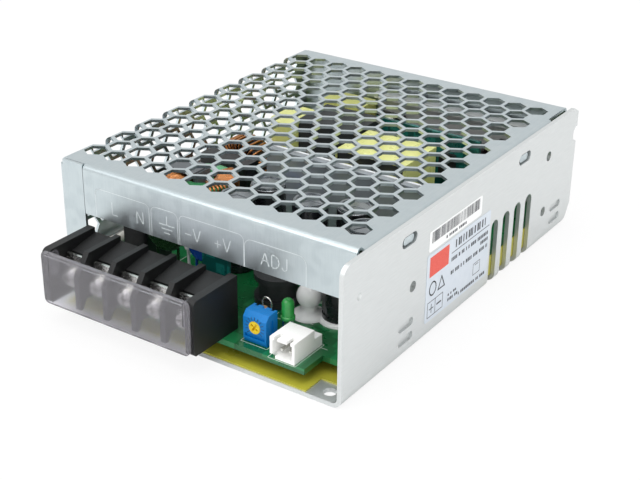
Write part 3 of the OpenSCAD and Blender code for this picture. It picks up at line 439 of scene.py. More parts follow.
# Pulse capacitor: dull yellow, half matt.
YELLOW_CASE = Finish("yellow flame-retardant case", "#D5D781", "#C9CB70", 0.35, grain_mm=0.5, bump_mm=0.006)
# Dipped discs: deep blue, thick and glossy.
BLUE_LACQUER = Finish(
    "blue dipped lacquer", "#1F4FA3", "#1A4492", 0.25, grain_mm=1.5, bump_mm=0.03, coat=0.4,
)
# Dipped varistor: very dark green, thick and glossy.
GREEN_LACQUER = Finish(
    "dark green dipped lacquer", "#1E3F22", "#17341B", 0.28, grain_mm=1.5, bump_mm=0.03, coat=0.4,
)
# Chips and transistors: matt black with a fine grain.
CHIP_RESIN = Finish("moulded chip resin", "#1C1C1D", "#242425", 0.55, grain_mm=0.15, bump_mm=0.008)
# Heat sink: pale rolled metal with streaks across.
SINK_ALUMINIUM = Finish(
    "rolled sink aluminium", "#E9E9E8", "#DCDDDD", 0.45, 0.55, 0.5, (12.0, 1.0, 1.0), 0.5, 0.06, 0.003,
)
# Fuse tube: smooth off-white.
CERAMIC = Finish("white ceramic tube", "#D6D4CC", "#CBC9C0", 0.25, grain_mm=1.0, bump_mm=0.004)
# Set silicone: white, soft-edged light, wet shine.
SILICONE = Finish(
    "white silicone glue", "#FBFBFA", "#F3F3F2", 0.22, grain_mm=2.0, bump_mm=0.06, subsurface=0.3,
    subsurface_mm=1.5, coat=0.2,
)
# Rating sticker: cool grey with a metal sheen.
FOIL = Finish(
    "laminated foil label", "#D2DAE3", "#CAD3DD", 0.34, 0.25, 3.0, mix=0.5, bump_mm=0.004, coat=0.2,
)
# Serial sticker: plain white, matt.
PAPER = Finish("coated paper label", "#F4F5F5", "#EDEEEE", 0.45, grain_mm=0.5, bump_mm=0.002)
# Sticker print: dark grey, matt.
GREY_INK = Finish("dark grey ink", "#33373E", "#3E434B", 0.5, grain_mm=0.5, bump_mm=0.0)
# Plain field on the sticker: coral red.
CORAL_INK = Finish("coral ink", "#E2503F", "#D94636", 0.45, grain_mm=0.6, bump_mm=0.0)
# Board print: off-white, matt.
SILK_INK = Finish("white silk-screen ink", "#DDE5DD", "#CBD6CC", 0.6, grain_mm=0.4, bump_mm=0.0)
# Flap legend: pale matt lines in the zinc.
ETCHED = Finish("etched line in zinc", "#E2E9EB", "#D6DEE0", 0.6, 0.3, 0.4, bump_mm=0.0)
# Trimmer scale: marks a good deal darker than the blue round them.
MOULDED_MARK = Finish("dark blue moulded mark", "#123E6B", "#0F365E", 0.5, grain_mm=0.4, bump_mm=0.0)


def dress(finish: Finish, *nodes: str) -> None:
    """Gives CAD nodes their finish.

    Args:
        finish: the finish to use.
        nodes: names of the CAD nodes.
    """
    made = finish.material()
    for node in nodes:
        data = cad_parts[node].data
        if len(data.materials):
            data.materials[0] = made
        else:
            data.materials.append(made)
        log.info("%s: %s", node, finish.name)


# ------------------------------------------------------------------ pieces


def piece(
    name: str,
    points: Sequence[Sequence[float]],
    faces: Sequence[Sequence[int]],
    finish: Finish,
    slot: str,
    body: str = SUPPLY,
) -> Object:
    """Makes a mesh piece from points in millimetres and lets it ride on a body.

    Args:
        name: name of the piece.
        points: corners in millimetres.
        faces: corner indices of each face.
        finish: its finish.
        slot: the record's material slot, which is not used.
        body: the CAD body that it moves with.

    Returns:
        The object.
    """
    mesh = bpy.data.meshes.new(name)
    mesh.from_pydata([[c * MM for c in p] for p in points], [], [list(f) for f in faces])
    mesh.materials.append(finish.material())
    mesh.update()
    made = bpy.data.objects.new(name, mesh)
    bpy.context.scene.collection.objects.link(made)
    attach(made, body)
    log.info("%s: %d faces on %s", name, len(mesh.polygons), body)
    return made


class Plane(Enum):
    """Which way a flat print faces: its drawing plane's two axes and its outward normal."""

    RIGHT = "right"
    FRONT = "front"
    TOP = "top"

    def place(self, u: float, v: float, level: float) -> tuple[float, float, float]:
        """Puts a drawing point in the row frame.

        Args:
            u: distance to the viewer's right.
            v: distance upwards in the drawing.
            level: where the plane lies along its normal.

        Returns:
            The point in millimetres.
        """
        if self is Plane.RIGHT:
            return (level, u, v)
        if self is Plane.FRONT:
            return (u, level, v)
        return (u, v, level)


Outline = Sequence[tuple[float, float]]


def rectangle(u0: float, v0: float, u1: float, v1: float) -> Outline:
    """Gives a rectangle's corners, counter-clockwise."""
    return [(u0, v0), (u1, v0), (u1, v1), (u0, v1)]


def arc(u: float, v: float, radius: float, degrees: Iterable[float]) -> Outline:
    """Gives points on a circle round (u, v), at angles counted from the first axis."""
    return [(u + radius * math.cos(math.radians(d)), v + radius * math.sin(math.radians(d))) for d in degrees]


def stroke(path: Outline, width: float, closed: bool = False) -> list[Outline]:
    """Turns a line into quads of a width, one for each stretch.

    Args:
        path: the line's points.
        width: width of the line.
        closed: whether the last point joins the first.

    Returns:
        One outline for each stretch, with its ends run on by half the width.
    """
    ends = list(path) + ([path[0]] if closed else [])
    quads = []
    for (ax, ay), (bx, by) in zip(ends, ends[1:]):
        run = math.hypot(bx - ax, by - ay) or 1.0
        ux, uy = (bx - ax) / run * width / 2, (by - ay) / run * width / 2
        quads.append(
            [
                (ax - ux + uy, ay - uy - ux),
                (bx + ux + uy, by + uy - ux),
                (bx + ux - uy, by + uy + ux),
                (ax - ux - uy, ay - uy + ux),
            ]
        )
    return quads


def flat_print(
    name: str, outlines: Iterable[Outline], plane: Plane, level: float, finish: Finish, slot: str
) -> Object:
    """Makes a print of flat outlines.

    Args:
        name: name of the piece.
        outlines: convex outlines, counter-clockwise for a viewer facing the plane.
        plane: which way the print faces.
        level: where it lies along the plane's normal, in millimetres.
        finish: its ink.
        slot: the record's material slot.

    Returns:
        The object.
    """
    points: list[tuple[float, float, float]] = []
    faces = []
    for outline in outlines:
        start = len(points)
        points += [plane.place(u, v, level) for u, v in outline]
        faces.append(range(start, len(points)))
    return piece(name, points, faces, finish, slot)


Box = tuple[tuple[float, float, float], tuple[float, float, float]]


def block_piece(name: str, boxes: Sequence[Box], finish: Finish, slot: str) -> Object:
    """Makes one piece of upright blocks.

    Args:
        name: name of the piece.
        boxes: lowest and highest corner of each block in millimetres.
        finish: its finish.
        slot: the record's material slot.

    Returns:
        The object.
    """
    points: list[tuple[float, float, float]] = []
    faces: list[tuple[int, ...]] = []
    for (x0, y0, z0), (x1, y1, z1) in boxes:
        n = len(points)
        points += [(x, y, z) for x in (x0, x1) for y in (y0, y1) for z in (z0, z1)]
        sides = ((0, 1, 3, 2), (4, 6, 7, 5), (0, 4, 5, 1), (2, 3, 7, 6), (0, 2, 6, 4), (1, 5, 7, 3))
        faces += [tuple(n + i for i in side) for side in sides]
    return piece(name, points, faces, finish, slot)


@dataclass(frozen=True)
class Turned:
    """A shape turned about an upright axis: where the axis stands and its profile of radius and height."""

    x: float
    y: float
    z: float
    profile: Outline
    sides: int = 40

    def mesh(self, start: int) -> tuple[list[tuple[float, float, float]], list[tuple[int, ...]]]:
        """Gives the shape's corners and faces.

        Args:
            start: number of corners that come before it in the piece.

        Returns:
            The corners in millimetres and the faces' corner numbers.
        """
        angles = [math.tau * i / self.sides for i in range(self.sides)]
        turns = [(math.cos(a), math.sin(a)) for a in angles]
        points = [(self.x + r * c, self.y + r * s, self.z + h) for r, h in self.profile for c, s in turns]
        faces: list[tuple[int, ...]] = []
        for k in range(len(self.profile) - 1):
            a, b = start + k * self.sides, start + (k + 1) * self.sides
            pairs = [(i, (i + 1) % self.sides) for i in range(self.sides)]
            faces += [(a + i, a + n, b + n, b + i) for i, n in pairs]
        return points, faces


def turned_piece(name: str, shapes: Sequence[Turned], finish: Finish, slot: str) -> Object:
    """Makes one smooth piece of turned shapes.

    Args:
        name: name of the piece.
        shapes: the turned shapes.
        finish: its finish.
        slot: the record's material slot.

    Returns:
        The object.
    """
    points: list[tuple[float, float, float]] = []
    faces: list[tuple[int, ...]] = []
    for shape in shapes:
        more, rings = shape.mesh(len(points))
        points += more
        faces += rings
    made = piece(name, points, faces, finish, slot)
    made.data.shade_smooth()
    return made


# Each letter as the lines that an engraver follows, on a grid one capital high.
LETTERS: dict[str, Sequence[Outline]] = {
    "A": [[(0.0, 0.0), (0.34, 1.0), (0.68, 0.0)], [(0.13, 0.36), (0.55, 0.36)]],
    "D": [
        [(0.0, 0.0), (0.0, 1.0), (0.3, 1.0), (0.55, 0.82), (0.64, 0.5), (0.55, 0.18), (0.3, 0.0), (0.0, 0.0)]
    ],
    "J": [[(0.42, 1.0), (0.42, 0.24), (0.3, 0.04), (0.12, 0.04), (0.0, 0.22)]],
    "L": [[(0.0, 1.0), (0.0, 0.0), (0.5, 0.0)]],
    "N": [[(0.0, 0.0), (0.0, 1.0), (0.62, 0.0), (0.62, 1.0)]],
    "V": [[(0.0, 1.0), (0.33, 0.0), (0.66, 1.0)]],
    "+": [[(0.0, 0.45), (0.5, 0.45)], [(0.25, 0.2), (0.25, 0.7)]],
    "-": [[(0.0, 0.45), (0.5, 0.45)]],
}


def lettering(text: str, height: float, width: float, u: float, v: float) -> list[Outline]:
    """Gives a word's strokes in a drawing plane.

    Args:
        text: the word, of letters in LETTERS.
        height: height of its capitals in millimetres.
        width: width of its lines.
        u: left edge of the word.
        v: base line of the word.

    Returns:
        The strokes' outlines.
    """
    outlines: list[Outline] = []
    for letter in text:
        for path in LETTERS[letter]:
            outlines += stroke([(u + x * height, v + y * height) for x, y in path], width)
        u += (max(x for path in LETTERS[letter] for x, _ in path) + 0.26) * height
    return outlines


def grown(
    name: str, build: Callable[[Tree], Socket], inputs: dict[str, float], finish: Finish,
) -> Object:
    """Makes a piece with a Geometry Nodes tree and turns it into a plain mesh.

    Args:
        name: name of the piece.
        build: adds the tree's nodes and gives the geometry socket.
        inputs: named number inputs of the tree and their values.
        finish: its finish.

    Returns:
        The object, at the origin, riding on the supply.
    """
    tree = bpy.data.node_groups.new(name, "GeometryNodeTree")
    for label in inputs:
        kind = "NodeSocketInt" if isinstance(inputs[label], int) else "NodeSocketFloat"
        tree.interface.new_socket(label, in_out="INPUT", socket_type=kind)
    tree.interface.new_socket("Geometry", in_out="OUTPUT", socket_type="NodeSocketGeometry")
    real = add(tree, "GeometryNodeRealizeInstances", None, {0: build(tree)})
    coat = {"Material": finish.material()}
    painted = add(tree, "GeometryNodeSetMaterial", coat, {"Geometry": real})
    add(tree, "NodeGroupOutput", None, {0: painted})
    holder = bpy.data.objects.new(name + " source", bpy.data.meshes.new(name + " source"))
    bpy.context.scene.collection.objects.link(holder)
    modifier = holder.modifiers.new("grow", "NODES")
    modifier.node_group = tree
    for item in tree.interface.items_tree:
        if item.in_out == "INPUT":
            modifier[item.identifier] = inputs[item.name]
    view = bpy.context.evaluated_depsgraph_get()
    mesh = bpy.data.meshes.new_from_object(holder.evaluated_get(view))
    bpy.data.objects.remove(holder)
    made = bpy.data.objects.new(name, mesh)
    bpy.context.scene.collection.objects.link(made)
    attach(made, SUPPLY)
    log.info("%s: %d faces, grown", name, len(mesh.polygons))
    return made


# ------------------------------------------------------------------ sub-assemblies


@dataclass
class Chassis:
    """The folded plate, its film, and what holds the board."""

    def build(self) -> None:
        """Dresses the plate and its fixings."""
        dress(ROLLED_SHEET, "chassis")
        dress(OLIVE_FILM, "insulation_film")
        dress(NICKEL_SCREW, "board_posts", "board_screws", "cover_screws", "sink_screws")


@dataclass
class MeshCover:
    """The mesh cover and the terminal legend etched in its front flap."""

    line: float = 0.25
    letter: float = 3.45
    proud: float = 0.012
    shift: float = 1.3
    bays: int = 5
    end_wall: float = 2.4
    low_edge: float = 14.1
    high_edge: float = 5.6

    def build(self) -> None:
        """Dresses the sheet and draws the legend over the terminals."""
        dress(GALVANISED, "mesh_cover")
        low, high = box_mm("mesh_cover")
        first, last = box_mm("terminal_housing")
        pitch = (last.x - first.x - self.end_wall) / self.bays
        left = first.x + self.end_wall / 2 + self.shift
        bottom, top = high.z - self.low_edge, high.z - self.high_edge
        marks: list[Outline] = []
        # each frame: first and last bay line, its offset from each, how much lower it is, its corner
        for start, end, off_start, off_end, drop, corner in (
            (0, 2, 0.0, -0.5, 0.0, 1.6),
            (2, 3, 0.2, -0.6, 0.0, 1.6),
            (3, 5, 0.0, 1.4, 0.0, 1.6),
            (5, 7, 1.6, 1.0, 0.6, 2.2),
        ):
            u0, u1 = left + start * pitch + off_start, left + end * pitch + off_end
            marks += self.frame_line(u0, u1, bottom, top - drop, corner)
        for word, column in (("L", 0.6), ("N", 1.5), ("-V", 3.2), ("+V", 4.2), ("ADJ", 5.7)):
            marks += lettering(word, self.letter, self.line, left + column * pitch, bottom + 2.2)
        marks += self.ground(left + 2.56 * pitch, bottom + 4.3)
        flat_print("flap_legend", marks, Plane.FRONT, low.y - self.proud, ETCHED, "galvanised_sheet")

    def frame_line(self, u0: float, u1: float, v0: float, v1: float, corner: float) -> list[Outline]:
        """Draws a frame with round upper corners, open at the flap's lower edge.

        Args:
            u0: left side.
            u1: right side.
            v0: lower end of both sides.
            v1: upper side.
            corner: radius of the corners.

        Returns:
            The frame's strokes.
        """
        left = arc(u0 + corner, v1 - corner, corner, range(180, 89, -18))
        right = arc(u1 - corner, v1 - corner, corner, range(90, -1, -18))
        return stroke([(u0, v0), *left, *right, (u1, v0)], self.line * 0.7)

    def ground(self, u: float, v: float) -> list[Outline]:
        """Draws the protective-earth sign, three bars under a stem.

        Args:
            u: middle of the sign.
            v: height of its first bar.

        Returns:
            The sign's strokes.
        """
        marks = stroke([(u, v), (u, v + 2.4)], self.line)
        for i, half in enumerate((2.5, 1.7, 0.9)):
            marks += stroke([(u - half, v - i * 1.15), (u + half, v - i * 1.15)], self.line)
        return marks


@dataclass
class TerminalBlock:
    """The barrier block with its tabs, clamps, screws and clear flap."""

    def build(self) -> None:
        """Dresses the block."""
        dress(BLACK_PBT, "terminal_housing")
        dress(CLEAR_PC, "terminal_cover")
        dress(BRIGHT_TIN, "terminal_tabs", *[f"clamp_plate_{i}" for i in range(1, 6)])
        dress(NICKEL_SCREW, *[f"terminal_screw_{i}" for i in range(1, 6)])


@dataclass
class SignalParts:
    """Trimmer, lamp, header, resistor and glue at the open front corner."""

    ticks: int = 13
    sweep: float = 260.0
    tick: tuple[float, float, float] = (2.15, 2.85, 0.22)
    ball: float = 3.4
    can: float = 5.0
    dome: float = 1.3
    loop: float = 1.4
    wire: float = 0.24

    def build(self) -> None:
        """Dresses the parts and marks the trimmer's scale."""
        dress(BLUE_PBT, "trimmer_body")
        dress(YELLOW_NYLON, "trimmer_rotor")
        dress(BRIGHT_TIN, "led_leads", "header_pins")
        dress(IVORY_NYLON, "signal_header")
        dress(RESISTOR_CEMENT, "standing_resistor")
        self.glue()
        self.lamp()
        self.lead()
        low, _ = box_mm("trimmer_body")
        rotor_low, rotor_high = box_mm("trimmer_rotor")
        middle = (rotor_low + rotor_high) / 2
        marks: list[Outline] = []
        near, far, width = self.tick
        for i in range(self.ticks):
            turn = [90 - self.sweep / 2 + self.sweep * i / (self.ticks - 1)]
            ends = [*arc(middle.x, middle.z, near, turn), *arc(middle.x, middle.z, far, turn)]
            marks += stroke(ends, width)
        flat_print("trimmer_scale", marks, Plane.FRONT, low.y - 0.01, MOULDED_MARK, "blue_moulding")

    def glue(self) -> None:
        """Lays the silicone as it sets: a ball on a neck and skirt, a fillet round a can, a thin drip."""
        low, high = box_mm("glue_dabs")
        tips = [v.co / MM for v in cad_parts["glue_dabs"].data.vertices]
        drip = max(tips, key=lambda p: p.z)
        ball = max((p for p in tips if p.x > (low.x + high.x) / 2), key=lambda p: p.z)
        first, last = box_mm("output_capacitors")
        r, can = self.ball, self.can
        rise, hang = ball.z - low.z - r + 0.4, drip.z - low.z - 1.1
        bulb = arc(0.0, rise, r, range(-50, 91, 10))
        bead = arc(0.0, hang, 1.1, range(-60, 91, 15))
        skirt = [(4.7, 0.0), (4.6, 0.5), (3.9, 0.95), (2.7, 1.35), (2.1, 1.9)]
        fillet = [(can + 1.1, 0.0), (can + 1.0, 0.5), (can + 0.6, 0.85), (can, 0.95)]
        shapes = [
            Turned(ball.x - 0.3, ball.y, low.z, [*skirt, *bulb]),
            Turned(last.x - can, first.y + can, low.z, fillet),
            Turned(drip.x, drip.y, low.z, [(0.55, 0.0), (0.42, 3.0), (0.4, 9.0), *bead]),
        ]
        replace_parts(turned_piece("silicone_dabs", shapes, SILICONE, "silicone_glue"), "glue_dabs")

    def lamp(self) -> None:
        """Moulds the status lamp: a flanged foot and a tall round dome."""
        low, high = box_mm("status_led")
        foot = (high.x - low.x) / 2
        r, rise = foot - 0.28, high.z - low.z + self.dome - foot + 0.28
        dome = arc(0.0, rise, r, range(0, 91, 10))
        profile = [(0.01, 0.0), (foot - 0.08, 0.0), (foot, 0.08), (foot, 0.85), (foot - 0.08, 0.95)]
        profile += [(r + 0.02, 1.0), (r, 1.1)]
        middle = (low + high) / 2
        shape = Turned(middle.x, middle.y, low.z, [*profile, *dome])
        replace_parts(turned_piece("lamp_dome", [shape], GREEN_EPOXY, "green_lamp"), "status_led")

    def lead(self) -> None:
        """Bends the standing resistor's bare lead over its top."""
        low, high = box_mm("resistor_lead")
        half, wire = (high.x - low.x) / 2 - self.wire, self.wire
        middle = (low + high) / 2
        start, top = high.z - half - 1.0, high.z - half + self.loop
        path = [Vector((middle.x - half, middle.y, start))]
        path += [Vector((u, middle.y, v)) for u, v in arc(middle.x, top, half, range(180, -1, -15))]
        path.append(Vector((middle.x + half, middle.y, low.z)))
        sides = 8
        points, faces = [], []
        for k, point in enumerate(path):
            along = (path[min(k + 1, len(path) - 1)] - path[max(k - 1, 0)]).normalized()
            side = Vector((0.0, 1.0, 0.0))
            across = side.cross(along)
            points += [
                tuple(point + (side * math.cos(a) + across * math.sin(a)) * wire)
                for a in (math.tau * i / sides for i in range(sides))
            ]
            if k:
                n, m = (k - 1) * sides, k * sides
                faces += [(n + i, m + i, m + (i + 1) % sides, n + (i + 1) % sides) for i in range(sides)]
        faces += [tuple(range(sides - 1, -1, -1)), tuple(range(len(points) - sides, len(points)))]
        made = piece("resistor_loop", points, faces, BRIGHT_TIN, "tinned_metal")
        made.data.shade_smooth()
        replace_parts(made, "resistor_lead")


@dataclass
class Board:
    """The main board with its silk screen."""

    line: float = 0.16
    seed: int = 5
    dashes: int = 26
    lamp_ring: float = 2.5

    def build(self) -> None:
        """Dresses the board and prints round its parts."""
        dress(GREEN_BOARD, "main_board")
        low, high = box_mm("main_board")
        marks: list[Outline] = []
        rooms = {"trimmer_body": 0.5, "signal_header": 0.4, "sense_board": 0.8, "box_capacitors": 0.6}
        for node, room in rooms.items():
            a, b = box_mm(node)
            marks += stroke(rectangle(a.x - room, a.y - room, b.x + room, b.y + room), self.line, True)
        lamp_low, lamp_high = box_mm("status_led")
        middle = (lamp_low + lamp_high) / 2
        ring = arc(middle.x, middle.y, self.lamp_ring, (i * 22.5 for i in range(16)))
        marks += stroke(ring, self.line, True)
        rng = random.Random(self.seed)
        for _ in range(self.dashes):
            u, v = rng.uniform(14.0, high.x - 8), rng.uniform(low.y + 9, low.y + 34)
            marks += stroke([(u, v), (u + rng.choice((1.2, 2.4, 3.6)), v)], self.line)
            marks += stroke([(u, v), (u, v + rng.choice((0.8, 1.6, 2.6)))], self.line)
        flat_print("board_print", marks, Plane.TOP, high.z + 0.012, SILK_INK, "green_board")


@dataclass
class PowerParts:
    """Wound parts, capacitors, boards and sink under the mesh."""

    bore: float = 4.6
    stack: float = 2.2
    slack: float = 2.3
    fold: float = 1.1

    def build(self) -> None:
        """Dresses the parts and winds the two ring chokes."""
        dress(FERRITE, "transformer_core", "boost_core", "filter_choke_core", "output_choke")
        dress(YELLOW_TAPE, "transformer_wrap", "transformer_coil", "boost_coil")
        dress(BLACK_PBT, "transformer_bobbin", "boost_bobbin")
        self.choke_holder()
        dress(BLACK_CASE, "box_capacitors")
        dress(YELLOW_CASE, "pulse_capacitor")
        dress(BLUE_LACQUER, "safety_capacitors")
        dress(GREEN_LACQUER, "varistor")
        dress(TEAL_BOARD, "control_board", "sense_board")
        dress(CHIP_RESIN, "control_chips", "power_transistors")
        dress(CLEAR_PET, "barrier_sheet")
        self.paint_sheet_edge_highlight()
        dress(SINK_ALUMINIUM, "heat_sink")
        dress(CERAMIC, "line_fuse")
        self.cans()
        self.windings()

    def paint_sheet_edge_highlight(self) -> None:
        """Lays a thin white strip on the clear sheet's cut upper edge: a painted highlight for the light that
        the sheet carries out there.
        """
        low, high = box_mm("barrier_sheet")
        edge = max((v.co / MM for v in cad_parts["barrier_sheet"].data.vertices), key=lambda p: p.z)
        # painted highlight: a white block along the sheet's upper edge
        box = ((low.x, edge.y - 0.45, high.z - 0.35), (high.x, edge.y + 0.45, high.z + 0.08))
        block_piece("barrier_edge_highlight", [box], SHEET_EDGE_HIGHLIGHT, "clear_film")

    def choke_holder(self) -> None:
        """Moulds the line choke's ring and its holder: foot, tongue, and cap on the outer half."""
        low, high = box_mm("line_choke_core")
        x, y = (low.x + high.x) / 2, (low.y + high.y) / 2
        r = (high.x - low.x) / 2
        floor, top = (corner.z for corner in box_mm("line_choke_holder"))
        top += self.stack
        bore, z0, z1 = self.bore, low.z, high.z + self.stack
        ring = [(bore, z0), (r - 0.4, z0), (r, z0 + 0.4), (r, z1 - 0.4)]
        ring += [(r - 0.4, z1), (bore, z1), (bore, z0)]
        shape = Turned(x, y, 0.0, ring)
        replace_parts(turned_piece("choke_ring", [shape], GREEN_RING, "green_ring"), "line_choke_core")
        boxes = [
            ((x - r + 1, y - r + 1, floor), (x + r - 1, y + r - 1, floor + 2.2)),
            ((x - 0.8, y - 3.0, floor + 2.0), (x + 0.8, y + 3.0, top - 0.5)),
            ((x - r - 0.6, y - 4.2, top - 1.0), (x + 0.4, y + 3.4, top)),
        ]
        made = block_piece("choke_holder", boxes, GREY_MOULDING, "grey_holder")
        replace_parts(made, "line_choke_holder")

    def cans(self) -> None:
        """Dresses the electrolytic capacitors: black sleeves, bare aluminium tops."""
        low, high = box_mm("output_capacitors")
        tops = Field((low.x, low.y, high.z - 0.75), (high.x, high.y, high.z + 1), "#9FA3A7", 1.0, 0.25)
        # Shrunk black sleeve, glossy, with a bare metal top.
        sleeve = Finish(
            "black capacitor sleeve", "#16171B", "#1E1F24", 0.28,
            grain_mm=1.5, bump_mm=0.01, coat=0.3, fields=(tops,),
        )
        dress(sleeve, "output_capacitors")
        # Shrunk sleeve of the bulk capacitor: brown-black and glossy.
        bulk = Finish(
            "dark brown capacitor sleeve", "#241417", "#2E1B1E", 0.3, grain_mm=1.5, bump_mm=0.01, coat=0.3
        )
        dress(bulk, "bulk_capacitor")

    def windings(self) -> None:
        """Winds copper turns round the line choke and the filter choke."""
        for node, core, flat, turns, groups, wire, inner, start, sweep in (
            ("line_choke_coils", "line_choke_core", True, 17, 2, 0.36, self.bore, -38.0, 104.0),
            ("filter_choke_coil", "filter_choke_core", False, 34, 1, 0.36, 4.0, -70.0, 320.0),
        ):
            low, high = box_mm(core)
            high.z += self.stack if flat else 0.0
            size = high - low
            made = grown(
                node.replace("_coils", "_turns").replace("_coil", "_turns"),
                lambda tree, flat=flat, at=(low + high) / 2: self.turn_tree(tree, flat, at),
                {
                    "Turns": turns,
                    "Groups": groups,
                    "Wire": wire,
                    "Outer": size.x / 2,
                    "Inner": inner,
                    "Height": size.z if flat else size.y,
                    "Start": start,
                    "Sweep": sweep,
                },
                COPPER,
            )
            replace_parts(made, node)

    def turn_tree(self, tree: Tree, flat: bool, at: Vector) -> Socket:
        """Builds the tree that lays turns round a ring.

        Args:
            tree: the geometry tree, with inputs Turns, Groups, Wire, Outer, Inner, Height, Start and Sweep.
            flat: whether the ring lies flat, or stands with its axis along Y.
            at: the ring's centre in millimetres.

        Returns:
            The geometry socket.
        """
        given = add(tree, "NodeGroupInput").outputs

        radial = calc(tree, "SUBTRACT", given["Outer"], given["Inner"])
        wide = calc(tree, "ADD", radial, calc(tree, "MULTIPLY", given["Wire"], self.slack))
        tall = calc(tree, "ADD", given["Height"], calc(tree, "MULTIPLY", given["Wire"], self.slack))
        loop = add(tree, "GeometryNodeCurvePrimitiveQuadrilateral", None, {"Width": wide, "Height": tall})
        corners = {"mode": "POLY", "Radius": self.fold, "Count": 4}
        soft = add(tree, "GeometryNodeFilletCurve", corners, {"Curve": loop})
        ring = add(tree, "GeometryNodeCurvePrimitiveCircle", {"Resolution": 8}, {"Radius": given["Wire"]})
        curves = {"Curve": soft, "Profile Curve": ring}
        wire = add(tree, "GeometryNodeCurveToMesh", None, curves)
        middle = calc(tree, "MULTIPLY", calc(tree, "ADD", given["Outer"], given["Inner"]), 0.5)
        across = add(tree, "ShaderNodeCombineXYZ", None, {"X": middle})
        stood = add(
            tree,
            "GeometryNodeTransform",
            {"Rotation": (math.pi / 2, 0.0, 0.0)},
            {"Geometry": wire, "Translation": across},
        )
        total = calc(tree, "MULTIPLY", given["Turns"], given["Groups"])
        line = add(tree, "GeometryNodeMeshLine", {"Offset": (0.0, 0.0, 0.0)}, {"Count": total})
        index = add(tree, "GeometryNodeInputIndex").outputs[0]
        step = calc(tree, "DIVIDE", given["Sweep"], calc(tree, "SUBTRACT", given["Turns"], 1.0))
        group = calc(tree, "FLOOR", calc(tree, "DIVIDE", calc(tree, "ADD", index, 0.5), given["Turns"]))
        within = calc(tree, "SUBTRACT", index, calc(tree, "MULTIPLY", group, given["Turns"]))
        along = calc(tree, "ADD", given["Start"], calc(tree, "MULTIPLY", within, step))
        degrees = calc(tree, "ADD", along, calc(tree, "MULTIPLY", group, 180.0))
        turn = add(tree, "ShaderNodeCombineXYZ", None, {"Z": calc(tree, "MULTIPLY", degrees, math.pi / 180)})
        placed = add(
            tree,
            "GeometryNodeInstanceOnPoints",
            None,
            {"Points": line, "Instance": stood, "Rotation": turn},
        )
        smooth = add(tree, "GeometryNodeRealizeInstances", None, {0: placed})
        shaded = add(tree, "GeometryNodeSetShadeSmooth", None, {0: smooth})
        whole = add(
            tree,
            "GeometryNodeTransform",
            {
                "Rotation": (0.0, 0.0, 0.0) if flat else (math.pi / 2, 0.0, 0.0),
                "Translation": tuple(c * MM for c in at),
                "Scale": (MM, MM, MM),
            },
            {"Geometry": shaded},
        )
        return whole.outputs[0]


